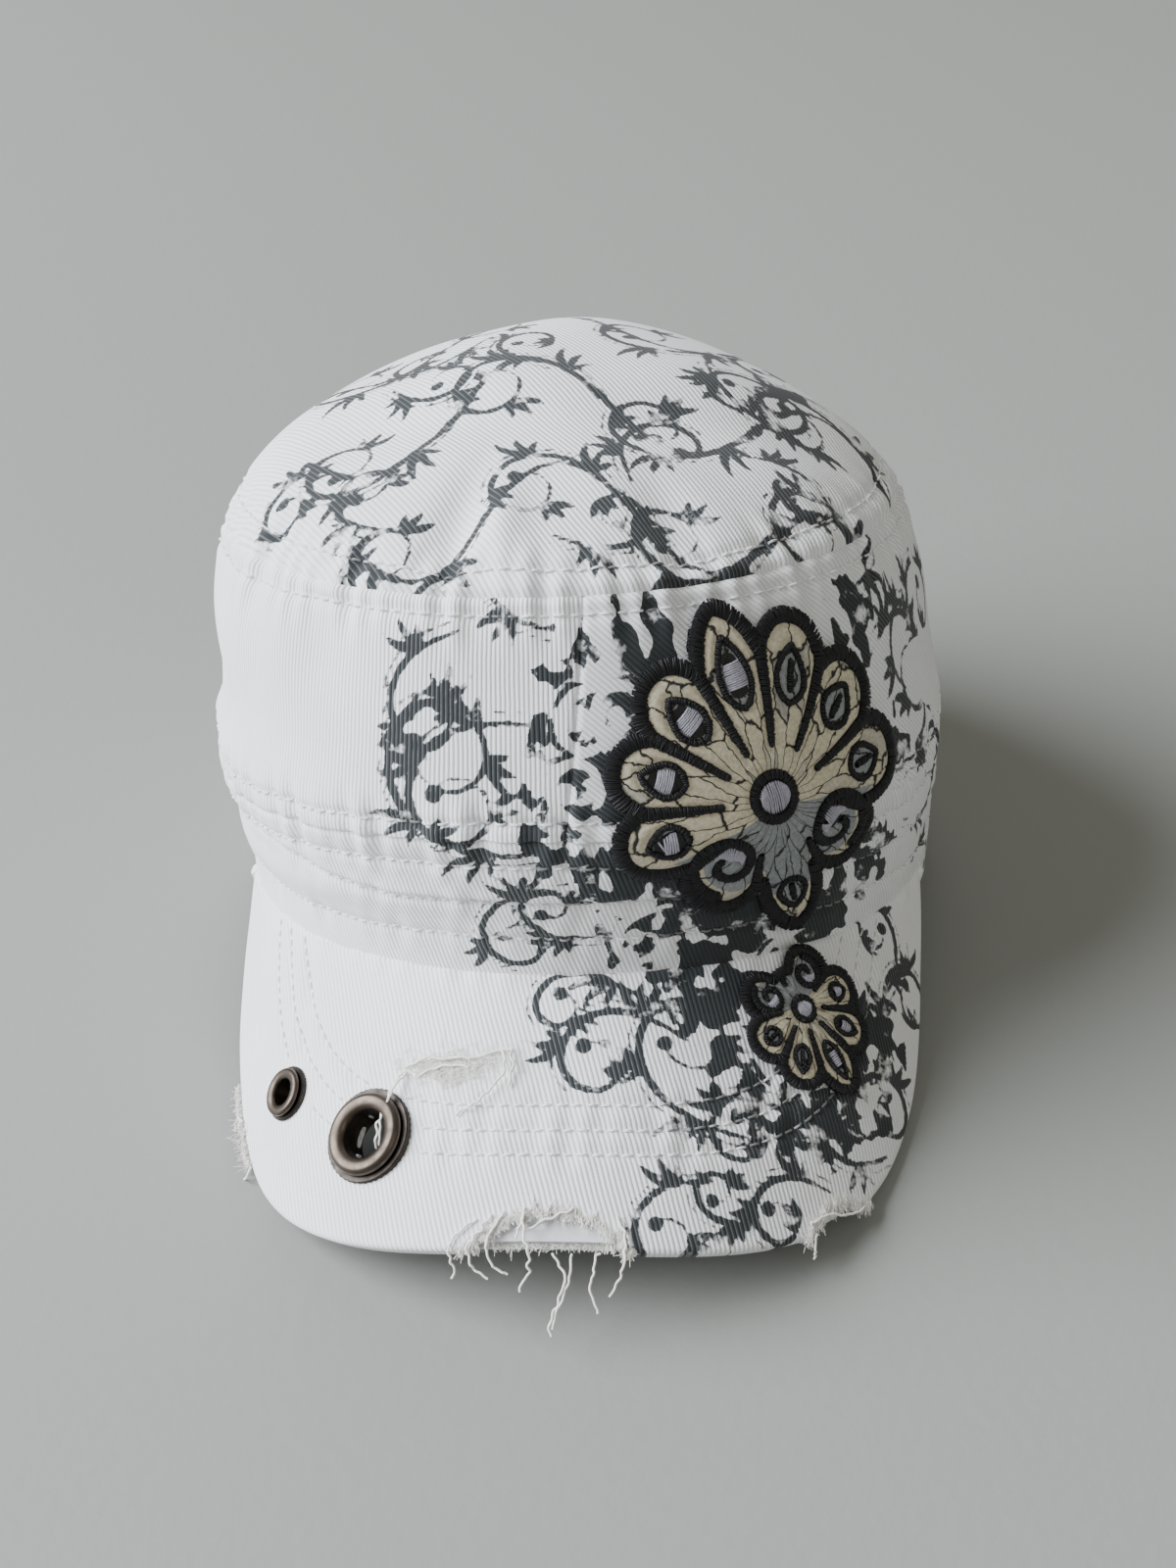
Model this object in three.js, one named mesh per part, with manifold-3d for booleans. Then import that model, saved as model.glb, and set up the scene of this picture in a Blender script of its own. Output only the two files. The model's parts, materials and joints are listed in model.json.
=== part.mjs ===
// A cadet cap in millimetres, +Z up, resting on z = 0 with its peak towards -Y.
// A soft twill crown stands in a sewn band. The arched peak is sewn to the band's front, and
// holds the band's front edge up from the table, where its two side edges touch down.

import * as THREE from 'three';
import { mergeVertices } from 'three/addons/utils/BufferGeometryUtils.js';
import Module from 'manifold-3d';

const wasm = await Module();
wasm.setup();

const degree = Math.PI / 180;

// Thickness of each layer, and the clearance between neighbouring pieces
const twillWall = 1.4;
const bandWall = 2.4;
const peakCloth = 1.0;
const boardWall = 1.2;
const seamGap = 0.3;

// Head opening and band
const openingHalfWidth = 87;
const openingFront = 96.5;
const openingBack = 96;
const bandHeight = 40;
const bandFlare = 0.5;
const bandLiftAngle = 120 * degree;

// Top seam and top panel
const topHalfWidth = 78.5;
const topHalfLength = 78;
const topSetBack = 2.5;
const topSlouch = 3;
const topFrontHeight = 127.5;
const topBackHeight = 87;
const domeRise = 38;
const domeRoundness = 0.7;
const domeFullerBehind = 0.3;
const dentFade = 8;

// The crease across the top: its place ahead of the middle, and how far its ends bow back
const creaseAhead = 30;
const creaseBow = 17;
const creaseDepth = 3;
const creaseWidth = 8;
const creaseFade = 4;

// Crown wall, and the turn of the centre front seam at its foot and at its head
const wallBulge = 3.3;
const wallRoundness = 0.8;
const sideSeamAngle = 100 * degree;
const frontSeamFoot = 2.2 * degree;
const frontSeamHead = 8 * degree;

// Folds begin above the band's foot and fade out below the top seam
const foldsBegin = 0.2;
const foldsFull = 0.6;
const foldsFade = 0.1;

// Peak, measured along its own cloth
const peakRadius = 94;
const peakSlope = 25.2 * degree;
const peakReach = 60;
const peakRoot = 70;
const peakHalfArc = 101.5;
const peakSquareness = 3.05;
const lipWidth = 2;
const lipLeast = 0.6;

// Large eyelet: its hole, rolled rim and washer, and its place on the peak
const largeBoreRadius = 5.2;
const largeRimRadius = 8.0;
const largeWasherRadius = 10.4;
const largeRimRise = 1.9;
const largeEyeletAcross = -41.4;
const largeEyeletAlong = 33.7;

// Small eyelet
const smallBoreRadius = 3.0;
const smallRimRadius = 4.9;
const smallWasherRadius = 6.2;
const smallRimRise = 1.3;
const smallEyeletAcross = -67.3;
const smallEyeletAlong = 19.7;

// Sheet metal of both eyelets
const eyeletMetal = 0.5;
const washerMetal = 0.6;
const rimTuck = 0.4;
const washerBevel = 0.4;

// Sewn on ornament: its cloth, its clearance, and how it bridges the step at the band seam
const patchWall = 1.5;
const patchGap = 0.6;
const patchBridge = 1.2;
const bridgeSpread = 0.12;

// Ornament on the crown
const crownPatchTurn = 31 * degree;
const crownPatchHeight = 46;
const crownPatchTilt = -12 * degree;
const crownPatchSize = 42;
const crownPatchCore = 0.52;

// Ornament on the peak
const peakPatchAcross = 54;
const peakPatchAlong = 2;
const peakPatchTilt = 140 * degree;
const peakPatchSize = 22;
const peakPatchCore = 0.42;

// How far a tear's shallow teeth and its ends fall short of its full size
const toothShortfall = 0.28;
const tearTaper = 0.06;
const tearRoundness = 0.6;

// Mesh steps
const stepsRound = 72;
const bandRows = 3;
const wallRows = 5;
const topRows = 6;
const peakColumns = 13;
const peakRows = 4;
const latheSteps = 20;
const rimSteps = 6;
const crownPatchRays = 90;
const crownPatchRings = 4;
const peakPatchRays = 40;
const peakPatchRings = 3;
const normalStep = 0.004;
const halvings = 40;
const mergeDistance = 1e-4;

// Soft folds of the wall and band: turn from the front (degrees), height from 0 at the band's foot
// through 1 at the band seam to 2 at the top seam, the two spreads, and rise as a share of the bulge.
const wallFolds = [
  { turn: -72, height: 1.14, turnSpread: 30, heightSpread: 0.12, rise: 0.75 },
  { turn: -95, height: 1.02, turnSpread: 24, heightSpread: 0.06, rise: -0.35 },
  { turn: -34, height: 1.84, turnSpread: 3.6, heightSpread: 0.16, rise: -0.34 },
  { turn: -41, height: 1.8, turnSpread: 5, heightSpread: 0.18, rise: 0.22 },
  { turn: -60, height: 1.62, turnSpread: 8, heightSpread: 0.3, rise: 0.3 },
  { turn: 78, height: 1.2, turnSpread: 30, heightSpread: 0.2, rise: 0.45 },
  { turn: 118, height: 1.35, turnSpread: 10, heightSpread: 0.5, rise: -0.35 },
  { turn: -124, height: 1.4, turnSpread: 10, heightSpread: 0.5, rise: -0.35 },
  { turn: 170, height: 1.3, turnSpread: 16, heightSpread: 0.3, rise: 0.4 },
];

// Dents of the top panel: the turn from the front, the share of the way from the centre to the seam,
// the two spreads, and the rise as a share of the dome.
const topFolds = [
  { turn: -14, out: 0.86, turnSpread: 3.6, outSpread: 0.14, rise: -0.12 },
  { turn: -6, out: 0.86, turnSpread: 3.4, outSpread: 0.12, rise: 0.09 },
  { turn: 26, out: 0.86, turnSpread: 4, outSpread: 0.12, rise: -0.09 },
  { turn: -64, out: 0.85, turnSpread: 16, outSpread: 0.2, rise: 0.1 },
  { turn: 180, out: 0.45, turnSpread: 60, outSpread: 0.28, rise: 0.12 },
];

// Lobes of the crown ornament, from its centre: direction in degrees from its axis, length as a share
// of its size, half width in degrees, and roundness, from 1 for a pointed lobe to 2 for a round one.
const crownLobes = [
  { turn: 0, reach: 1.0, half: 27, roundness: 1.5 },
  { turn: 30, reach: 0.93, half: 25, roundness: 2.4 },
  { turn: -30, reach: 0.93, half: 25, roundness: 2.4 },
  { turn: 60, reach: 0.9, half: 25, roundness: 2.4 },
  { turn: -60, reach: 0.9, half: 25, roundness: 2.4 },
  { turn: 91, reach: 0.88, half: 26, roundness: 2.4 },
  { turn: -91, reach: 0.88, half: 26, roundness: 2.4 },
  { turn: 132, reach: 0.72, half: 34, roundness: 2.4 },
  { turn: -132, reach: 0.72, half: 34, roundness: 2.4 },
  { turn: 180, reach: 0.86, half: 27, roundness: 1.5 },
];

const peakLobes = [
  { turn: 0, reach: 1.0, half: 34, roundness: 1.5 },
  { turn: 40, reach: 0.86, half: 32, roundness: 2.4 },
  { turn: -40, reach: 0.86, half: 32, roundness: 2.4 },
  { turn: 80, reach: 0.78, half: 34, roundness: 2.4 },
  { turn: -80, reach: 0.78, half: 34, roundness: 2.4 },
  { turn: 130, reach: 0.66, half: 40, roundness: 2.4 },
  { turn: -130, reach: 0.66, half: 40, roundness: 2.4 },
];

// Tears in the upper cloth of the peak, as jagged outlines: the place and length of each across the
// peak as shares of its half arc, the place and depth along it as shares of its reach, and the turn of
// its long side in degrees.
const tears = [
  { across: -0.01, along: 0.967, length: 0.315, depth: 0.2, turn: 0, teeth: 9 },
  { across: 0.63, along: 0.783, length: 0.197, depth: 0.083, turn: -25, teeth: 6 },
  { across: -0.887, along: 0.433, length: 0.236, depth: 0.1, turn: 62, teeth: 6 },
];

const darkBrass = { color: 0x4a4640, roughness: 0.38, metalness: 0.9 };
const twill = { color: 0xd9dbde, roughness: 0.92, metalness: 0 };
const board = { color: 0xe8e9ea, roughness: 0.7, metalness: 0 };
const patchCloth = { color: 0xb9b39f, roughness: 0.85, metalness: 0 };

const lerp = THREE.MathUtils.lerp;

function bump(distance, spread) {
  return Math.exp(-0.5 * (distance / spread) ** 2);
}

function turnBetween(a, b) {
  return Math.atan2(Math.sin(a - b), Math.cos(a - b));
}

// A closed solid from an outer and an inner grid of points with the same number of rows and columns.
function closedShell(outer, inner, wraps) {
  const columns = outer.length;
  const rows = outer[0].length;
  const points = [...outer.flat(), ...inner.flat()];
  const half = columns * rows;
  const triangles = [];
  const quad = (a, b, c, d) => triangles.push([a, b, c], [a, c, d]);
  const spans = wraps ? columns : columns - 1;
  for (let i = 0; i < spans; i += 1) {
    const here = i * rows;
    const next = ((i + 1) % columns) * rows;
    for (let j = 0; j < rows - 1; j += 1) {
      quad(here + j, next + j, next + j + 1, here + j + 1);
      quad(half + here + j, half + here + j + 1, half + next + j + 1, half + next + j);
    }
    quad(here, half + here, half + next, next);
    quad(here + rows - 1, next + rows - 1, half + next + rows - 1, half + here + rows - 1);
  }
  if (!wraps) {
    const last = (columns - 1) * rows;
    for (let j = 0; j < rows - 1; j += 1) {
      quad(j, j + 1, half + j + 1, half + j);
      quad(last + j, half + last + j, half + last + j + 1, last + j + 1);
    }
  }
  return solidGeometry(points, triangles);
}

// Merged points, without the triangles that a collapsed row or column leaves behind.
function solidGeometry(points, triangles) {
  const loose = new THREE.BufferGeometry().setFromPoints(points);
  loose.setIndex(triangles.flat());
  const merged = mergeVertices(loose, mergeDistance);
  const index = merged.index.array;
  const kept = [];
  for (let i = 0; i < index.length; i += 3) {
    const [a, b, c] = [index[i], index[i + 1], index[i + 2]];
    if (a !== b && b !== c && c !== a) {
      kept.push(a, b, c);
    }
  }
  merged.setIndex(kept);
  return merged;
}

function toManifold(geometry) {
  const bare = geometry.clone();
  bare.deleteAttribute('normal');
  bare.deleteAttribute('uv');
  const merged = mergeVertices(bare, mergeDistance);
  const mesh = new wasm.Mesh({
    numProp: 3,
    vertProperties: new Float32Array(merged.attributes.position.array),
    triVerts: new Uint32Array(merged.index.array),
  });
  return new wasm.Manifold(mesh);
}

function fromManifold(solid) {
  const mesh = solid.getMesh();
  const geometry = new THREE.BufferGeometry();
  geometry.setAttribute('position', new THREE.BufferAttribute(mesh.vertProperties, 3));
  geometry.setIndex(new THREE.BufferAttribute(mesh.triVerts, 1));
  return geometry;
}

// The peak: a sheet bent round a sloping cylinder. across and along are measured on its upper cloth,
// from the middle of its seam, and rise is the distance out from that cloth.
const peakThickness = 2 * peakCloth + boardWall + 2 * seamGap;

function peakPointFrom(rootHeight, across, along, rise) {
  const angle = across / peakRadius;
  const radius = peakRadius + rise;
  const lift = radius * Math.cos(angle) - peakRadius;
  return new THREE.Vector3(
    radius * Math.sin(angle),
    -openingFront - along * Math.cos(peakSlope) - lift * Math.sin(peakSlope),
    rootHeight - along * Math.sin(peakSlope) + lift * Math.cos(peakSlope),
  );
}

// Where the outline runs, at a place across the peak
function edgeAlong(across, inset) {
  const share = Math.min(Math.abs(across) / (peakHalfArc - inset), 1);
  const reach = (1 - share ** peakSquareness) ** (1 / peakSquareness);
  return -peakRoot + (peakRoot + peakReach - inset) * reach;
}

// The height that lets the side edges of the peak touch the table
function restingRootHeight() {
  let lowest = Infinity;
  for (let k = 0; k <= 2 * peakColumns; k += 1) {
    const across = peakColumnAcross(k, peakHalfArc);
    const point = peakPointFrom(0, across, edgeAlong(across, 0), -peakThickness);
    lowest = Math.min(lowest, point.z);
  }
  return -lowest;
}

function peakColumnAcross(column, reach) {
  return reach * Math.sin(((column - peakColumns) / peakColumns) * Math.PI * 0.5);
}

const peakRootHeight = restingRootHeight();
const frontLift = peakRootHeight - peakThickness;

function peakPoint(across, along, rise) {
  return peakPointFrom(peakRootHeight, across, along, rise);
}

function peakNormal(across) {
  const angle = across / peakRadius;
  const up = Math.cos(angle);
  return new THREE.Vector3(Math.sin(angle), -up * Math.sin(peakSlope), up * Math.cos(peakSlope));
}

// Where the peak meets the band's outer face, at a place across the peak
function seamAlong(across, rise) {
  const angle = across / peakRadius;
  const radius = peakRadius + rise;
  const side = (radius * Math.sin(angle)) / (openingHalfWidth + seamGap);
  const y = -(openingFront + seamGap) * Math.sqrt(Math.max(0, 1 - side * side));
  const lift = radius * Math.cos(angle) - peakRadius;
  return (-openingFront - y - lift * Math.sin(peakSlope)) / Math.cos(peakSlope);
}

// How far across the seam and the outline run before they meet
function peakTip(inset, rise) {
  let inside = 0;
  let outside = peakHalfArc - inset;
  for (let i = 0; i < halvings; i += 1) {
    const middle = (inside + outside) / 2;
    if (edgeAlong(middle, inset) > seamAlong(middle, rise)) {
      inside = middle;
    } else {
      outside = middle;
    }
  }
  return inside;
}

function peakGrid(inset, rows, riseOf, shareOf) {
  const grid = [];
  for (let column = 2 * peakColumns; column >= 0; column -= 1) {
    const line = [];
    for (let row = 0; row < rows; row += 1) {
      const rise = riseOf(row);
      const across = peakColumnAcross(column, peakTip(inset, rise));
      const start = seamAlong(across, rise);
      const end = Math.max(edgeAlong(across, inset), start);
      const tip = column === 0 || column === 2 * peakColumns;
      line.push(peakPoint(across, tip ? start : lerp(start, end, shareOf(row, end - start)), rise));
    }
    grid.push(line);
  }
  return grid;
}

// One layer of the peak. lip turns its lower face down round the edge of the layers below.
function peakLayer(inset, upper, lower, lip) {
  const rows = peakRows + 2;
  const lipShare = (length) => (length > lipWidth ? Math.max(1 - lipWidth / length, lipLeast) : lipLeast);
  const shareOf = (row, length) => (row < rows - 1 ? (row / (rows - 2)) * lipShare(length) : 1);
  const innerShare = (row, length) => {
    if (row === rows - 1) {
      return 1;
    }
    return row === rows - 2 ? lipShare(length) : (row / (rows - 3)) * lipShare(length);
  };
  const lowerOf = (row) => (row >= rows - 2 ? lip : lower);
  const outer = peakGrid(inset, rows, () => upper, shareOf);
  const inner = peakGrid(inset, rows, lowerOf, innerShare);
  return closedShell(outer, inner, false);
}

// The crown's cloth. turn is the angle round the head from the front, and height runs from 0 at the
// band's foot through 1 at the band seam and 2 at the top seam to 3 at the middle of the top.
function rimHeight(turn) {
  const away = Math.abs(turnBetween(turn, 0));
  return away < bandLiftAngle ? frontLift * 0.5 * (1 + Math.cos((Math.PI * away) / bandLiftAngle)) : 0;
}

function ovalPoint(turn, grow, z) {
  const reach = Math.cos(turn) > 0 ? openingFront : openingBack;
  const x = (openingHalfWidth + grow) * Math.sin(turn);
  const y = -(reach + grow) * Math.cos(turn);
  return new THREE.Vector3(x, y, z);
}

function topSlopeHeight(y) {
  const share = (y - topSetBack + topHalfLength) / (2 * topHalfLength);
  return lerp(topFrontHeight, topBackHeight, share);
}

function topPoint(turn, out) {
  const x = topHalfWidth * out * Math.sin(turn) - topSlouch;
  const y = topSetBack - topHalfLength * out * Math.cos(turn);
  const behind = -out * Math.cos(turn);
  let rise = domeRise * (1 - out * out) ** domeRoundness * (1 + domeFullerBehind * behind);
  for (const fold of topFolds) {
    const sideways = bump(turnBetween(turn, fold.turn * degree), fold.turnSpread * degree);
    const outward = bump(out - fold.out, fold.outSpread);
    rise += domeRise * fold.rise * sideways * outward * out * (1 - out ** dentFade);
  }
  const creaseAt = topSetBack - creaseAhead + creaseBow * (out * Math.sin(turn)) ** 2;
  const crease = bump(y - creaseAt, creaseWidth) * (1 - out ** creaseFade);
  return new THREE.Vector3(x, y, topSlopeHeight(y) + rise - creaseDepth * crease);
}

function foldRise(turn, height) {
  let rise = 0;
  for (const fold of wallFolds) {
    const sideways = bump(turnBetween(turn, fold.turn * degree), fold.turnSpread * degree);
    rise += wallBulge * fold.rise * sideways * bump(height - fold.height, fold.heightSpread);
  }
  const fromFoot = THREE.MathUtils.smoothstep(height, foldsBegin, foldsFull);
  const fromHead = THREE.MathUtils.smoothstep(2 - height, 0, foldsFade);
  return rise * fromFoot * fromHead;
}

function crownPoint(turn, height) {
  if (height > 2) {
    return topPoint(turn, 3 - height);
  }
  const foot = rimHeight(turn);
  if (height <= 1) {
    return ovalPoint(turn, bandFlare * height + foldRise(turn, height), foot + bandHeight * height);
  }
  const share = height - 1;
  const low = ovalPoint(turn, bandFlare, foot + bandHeight);
  const high = topPoint(turn, 1);
  const point = low.lerp(high, share);
  const outward = new THREE.Vector3(Math.sin(turn), -Math.cos(turn), 0);
  const swell = wallBulge * Math.sin(Math.PI * share) ** wallRoundness;
  return point.addScaledVector(outward, swell + foldRise(turn, height));
}

function crownNormal(turn, height) {
  const step = normalStep;
  const clamped = Math.min(height, 3 - 2 * step);
  const round = crownPoint(turn + step, clamped).sub(crownPoint(turn - step, clamped));
  const up = crownPoint(turn, clamped + step).sub(crownPoint(turn, Math.max(clamped - step, 0)));
  return round.cross(up).normalize();
}

// The front panels lean with the centre front seam, less and less towards the side seams
function leaningTurn(turn, height) {
  const away = Math.abs(turnBetween(turn, 0)) / sideSeamAngle;
  const lean = lerp(frontSeamFoot, frontSeamHead, height - 1);
  return turn + lean * Math.max(0, 1 - away);
}

// A strip of the crown between two heights, less half a gap at each seam. Each column gives its turn
// at a height. Where two strips meet, both are cut on the slant halfway between their faces.
function crownStrip(from, to, rows, columns, wall, wraps) {
  const outer = [];
  const inner = [];
  for (const column of columns) {
    const length = crownPoint(column(from), from).distanceTo(crownPoint(column(to), to));
    const inset = ((seamGap / 2) * (to - from)) / length;
    const low = from === 0 ? 0 : from + inset;
    const high = to === 3 ? 3 : to - inset;
    const outerLine = [];
    const innerLine = [];
    for (let row = 0; row <= rows; row += 1) {
      const share = row / rows;
      const seam = lerp(from, to, share);
      const point = crownPoint(column(seam), lerp(low, high, share));
      const normal = crownNormal(column(seam), seam);
      if (seam === 0) {
        normal.set(normal.x, normal.y, 0).normalize();
      }
      outerLine.push(point);
      innerLine.push(point.clone().addScaledVector(normal, -wall));
    }
    outer.push(outerLine);
    inner.push(innerLine);
  }
  if (to === 3) {
    closePole(outer, 0);
    closePole(inner, -wall);
  }
  return closedShell(outer, inner, wraps);
}

function closePole(grid, drop) {
  const pole = topPoint(0, 0).add(new THREE.Vector3(0, 0, drop));
  for (const line of grid) {
    line[line.length - 1] = pole.clone();
  }
}

// Columns of a wall panel, less half a gap at both of its side seams
function panelColumns(start, end) {
  const margin = seamGap / 2 / openingHalfWidth;
  const count = Math.round(((end - start) / (2 * Math.PI)) * stepsRound);
  return Array.from({ length: count + 1 }, (_, i) => {
    const turn = lerp(start + margin, end - margin, i / count);
    return (height) => leaningTurn(turn, height);
  });
}

const wholeRound = Array.from({ length: stepsRound }, (_, i) => () => (i / stepsRound) * 2 * Math.PI);

// A lobed patch, measured from its centre: how far its edge lies in each direction
function lobeReach(lobes, core, direction) {
  let reach = core;
  for (const lobe of lobes) {
    const away = Math.abs(turnBetween(direction, lobe.turn * degree)) / (lobe.half * degree);
    if (away < 1) {
      reach = Math.max(reach, lobe.reach * Math.sqrt(1 - away ** lobe.roundness));
    }
  }
  return reach;
}

function lobedPatch(lobes, patch, surface) {
  const outer = [];
  const inner = [];
  for (let ray = 0; ray < patch.rays; ray += 1) {
    const direction = (-ray / patch.rays) * 2 * Math.PI;
    const reach = patch.size * lobeReach(lobes, patch.core, direction);
    const outerLine = [];
    const innerLine = [];
    for (let ring = patch.rings; ring >= 0; ring -= 1) {
      const far = reach * (ring / patch.rings);
      const side = far * Math.sin(direction + patch.tilt);
      const up = far * Math.cos(direction + patch.tilt);
      outerLine.push(surface(side, up, patchGap + patchWall));
      innerLine.push(surface(side, up, patchGap));
    }
    outer.push(outerLine);
    inner.push(innerLine);
  }
  return closedShell(outer, inner, true);
}

// A place on the crown, a length sideways and up its cloth from the middle of the crown patch
const wallSlant = crownPoint(0, 1).distanceTo(crownPoint(0, 2));

function crownPatchPoint(side, up, rise) {
  const girth = (openingHalfWidth + openingFront) / 2;
  const turn = crownPatchTurn + side / girth;
  const climb = crownPatchHeight + up;
  const height = climb < bandHeight ? climb / bandHeight : 1 + (climb - bandHeight) / wallSlant;
  const bridge = patchBridge * bump(height - 1, bridgeSpread);
  const normal = crownNormal(turn, Math.min(height, 2 - foldsFade));
  return crownPoint(turn, height).addScaledVector(normal, rise + bridge);
}

function peakPatchPoint(side, up, rise) {
  return peakPoint(peakPatchAcross + side, peakPatchAlong - up, rise);
}

// Eyelets: a lathed tube with a rolled rim above the washer and a flange below the peak
const eyelets = [
  {
    name: 'eyelet_large',
    bore: largeBoreRadius,
    rim: largeRimRadius,
    washer: largeWasherRadius,
    rise: largeRimRise,
    across: largeEyeletAcross,
    along: largeEyeletAlong,
  },
  {
    name: 'eyelet_small',
    bore: smallBoreRadius,
    rim: smallRimRadius,
    washer: smallWasherRadius,
    rise: smallRimRise,
    across: smallEyeletAcross,
    along: smallEyeletAlong,
  },
];

function eyeletProfile(eyelet) {
  const outerBore = eyelet.bore + eyeletMetal;
  const seat = seamGap + washerMetal + seamGap;
  const tuck = seat + rimTuck;
  const middle = (eyelet.bore + eyelet.rim) / 2;
  const sag = eyelet.rim ** 2 / (2 * peakRadius);
  const flange = -peakThickness - seamGap - sag;
  const points = [[outerBore, seat], [eyelet.rim - rimTuck, seat], [eyelet.rim, tuck]];
  for (let i = 1; i <= rimSteps; i += 1) {
    const angle = (i / rimSteps) * Math.PI;
    const radius = middle + (eyelet.rim - middle) * Math.cos(angle);
    points.push([radius, tuck + (eyelet.rise - rimTuck) * Math.sin(angle)]);
  }
  points.push([eyelet.bore, flange - eyeletMetal]);
  points.push([eyelet.rim, flange - eyeletMetal]);
  points.push([eyelet.rim, flange]);
  points.push([outerBore, flange]);
  points.push([outerBore, seat]);
  return points.map(([x, y]) => new THREE.Vector2(x, y));
}

function washerProfile(eyelet) {
  const inner = eyelet.bore + eyeletMetal + seamGap;
  const bevel = washerMetal * washerBevel;
  return [
    new THREE.Vector2(inner, seamGap),
    new THREE.Vector2(eyelet.washer, seamGap),
    new THREE.Vector2(eyelet.washer, seamGap + washerMetal - bevel),
    new THREE.Vector2(eyelet.washer - washerMetal, seamGap + washerMetal),
    new THREE.Vector2(inner, seamGap + washerMetal),
    new THREE.Vector2(inner, seamGap),
  ];
}

function standOnPeak(object, place, rise) {
  object.position.copy(peakPoint(place.across, place.along, rise));
  const up = new THREE.Vector3(0, 1, 0);
  object.quaternion.setFromUnitVectors(up, peakNormal(place.across));
  return object;
}

function placedManifold(geometry, place, rise) {
  const holder = standOnPeak(new THREE.Object3D(), place, rise);
  holder.updateMatrix();
  return toManifold(geometry.clone().applyMatrix4(holder.matrix));
}

function eyeletHole(eyelet) {
  const radius = eyelet.bore + eyeletMetal + seamGap;
  const reach = 4 * peakThickness;
  return placedManifold(new THREE.CylinderGeometry(radius, radius, reach, latheSteps), eyelet, 0);
}

// A jagged outline, cut straight down through the upper cloth as far as the board's foot
function tearCutter(tear) {
  const shape = new THREE.Shape();
  const half = (tear.length * peakHalfArc) / 2;
  const deep = (tear.depth * peakReach) / 2;
  shape.moveTo(-half, 0);
  for (let i = 0; i <= tear.teeth; i += 1) {
    const share = i / tear.teeth;
    const swell = Math.sin(Math.PI * share) ** tearRoundness;
    const tooth = i % 2 === 0 ? 1 : 1 - toothShortfall;
    shape.lineTo(lerp(-half, half, share) * (1 - tearTaper), deep * (swell * tooth + tearTaper));
  }
  shape.lineTo(half, 0);
  shape.lineTo(half, -4 * deep);
  shape.lineTo(-half, -4 * deep);
  const depth = 2 * peakThickness;
  const cutter = new THREE.ExtrudeGeometry(shape, { depth, bevelEnabled: false, steps: 1 });
  cutter.rotateX(-Math.PI / 2);
  cutter.rotateY(-tear.turn * degree);
  const place = { across: tear.across * peakHalfArc, along: tear.along * peakReach };
  return placedManifold(cutter, place, -peakThickness);
}

function cut(geometry, cutters) {
  let solid = toManifold(geometry);
  for (const cutter of cutters) {
    solid = solid.subtract(cutter);
  }
  return fromManifold(solid);
}

// Assembly
const cap = new THREE.Group();

function add(name, geometry, look) {
  const mesh = new THREE.Mesh(geometry, new THREE.MeshStandardMaterial(look));
  mesh.name = name;
  cap.add(mesh);
  return mesh;
}

const frontLeft = panelColumns(-sideSeamAngle, 0);
const frontRight = panelColumns(0, sideSeamAngle);
const back = panelColumns(sideSeamAngle, 2 * Math.PI - sideSeamAngle);
add('crown_top', crownStrip(2, 3, topRows, wholeRound, twillWall, true), twill);
add('crown_front_left', crownStrip(1, 2, wallRows, frontLeft, twillWall, false), twill);
add('crown_front_right', crownStrip(1, 2, wallRows, frontRight, twillWall, false), twill);
add('crown_back', crownStrip(1, 2, wallRows, back, twillWall, false), twill);
add('band', crownStrip(0, 1, bandRows, wholeRound, bandWall, true), twill);

const holes = eyelets.map(eyeletHole);
const boardTop = -peakCloth - seamGap;
const boardFoot = boardTop - boardWall;
const underTop = boardFoot - seamGap;
const upperCloth = peakLayer(0, 0, -peakCloth, boardFoot);
const stiffener = peakLayer(lipWidth + seamGap, boardTop, boardFoot, boardFoot);
const lowerCloth = peakLayer(0, underTop, -peakThickness, -peakThickness);
add('peak_top', cut(upperCloth, [...holes, ...tears.map(tearCutter)]), twill);
add('peak_board', cut(stiffener, holes), board);
add('peak_under', cut(lowerCloth, holes), twill);

for (const eyelet of eyelets) {
  const tube = new THREE.LatheGeometry(eyeletProfile(eyelet), latheSteps);
  const washer = new THREE.LatheGeometry(washerProfile(eyelet), latheSteps);
  standOnPeak(add(eyelet.name, tube, darkBrass), eyelet, 0);
  standOnPeak(add(`${eyelet.name}_washer`, washer, darkBrass), eyelet, 0);
}

const crownPatch = {
  tilt: crownPatchTilt,
  size: crownPatchSize,
  core: crownPatchCore,
  rays: crownPatchRays,
  rings: crownPatchRings,
};
const peakPatch = {
  tilt: peakPatchTilt,
  size: peakPatchSize,
  core: peakPatchCore,
  rays: peakPatchRays,
  rings: peakPatchRings,
};
add('applique_crown', lobedPatch(crownLobes, crownPatch, crownPatchPoint), patchCloth);
add('applique_peak', lobedPatch(peakLobes, peakPatch, peakPatchPoint), patchCloth);

// The cap's middle stands over the origin
cap.updateMatrixWorld(true);
const box = new THREE.Box3().setFromObject(cap);
cap.position.set(-(box.min.x + box.max.x) / 2, -(box.min.y + box.max.y) / 2, 0);

export default cap;
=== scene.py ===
# A white cotton twill cadet cap, worn and torn, that lies on a pale painted board.
# Lengths are in millimetres on the cap's own cloth and become metres where a mesh is made.

import json
import math

import bmesh
import bpy
import numpy as np
from mathutils import Matrix, Vector, kdtree

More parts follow.
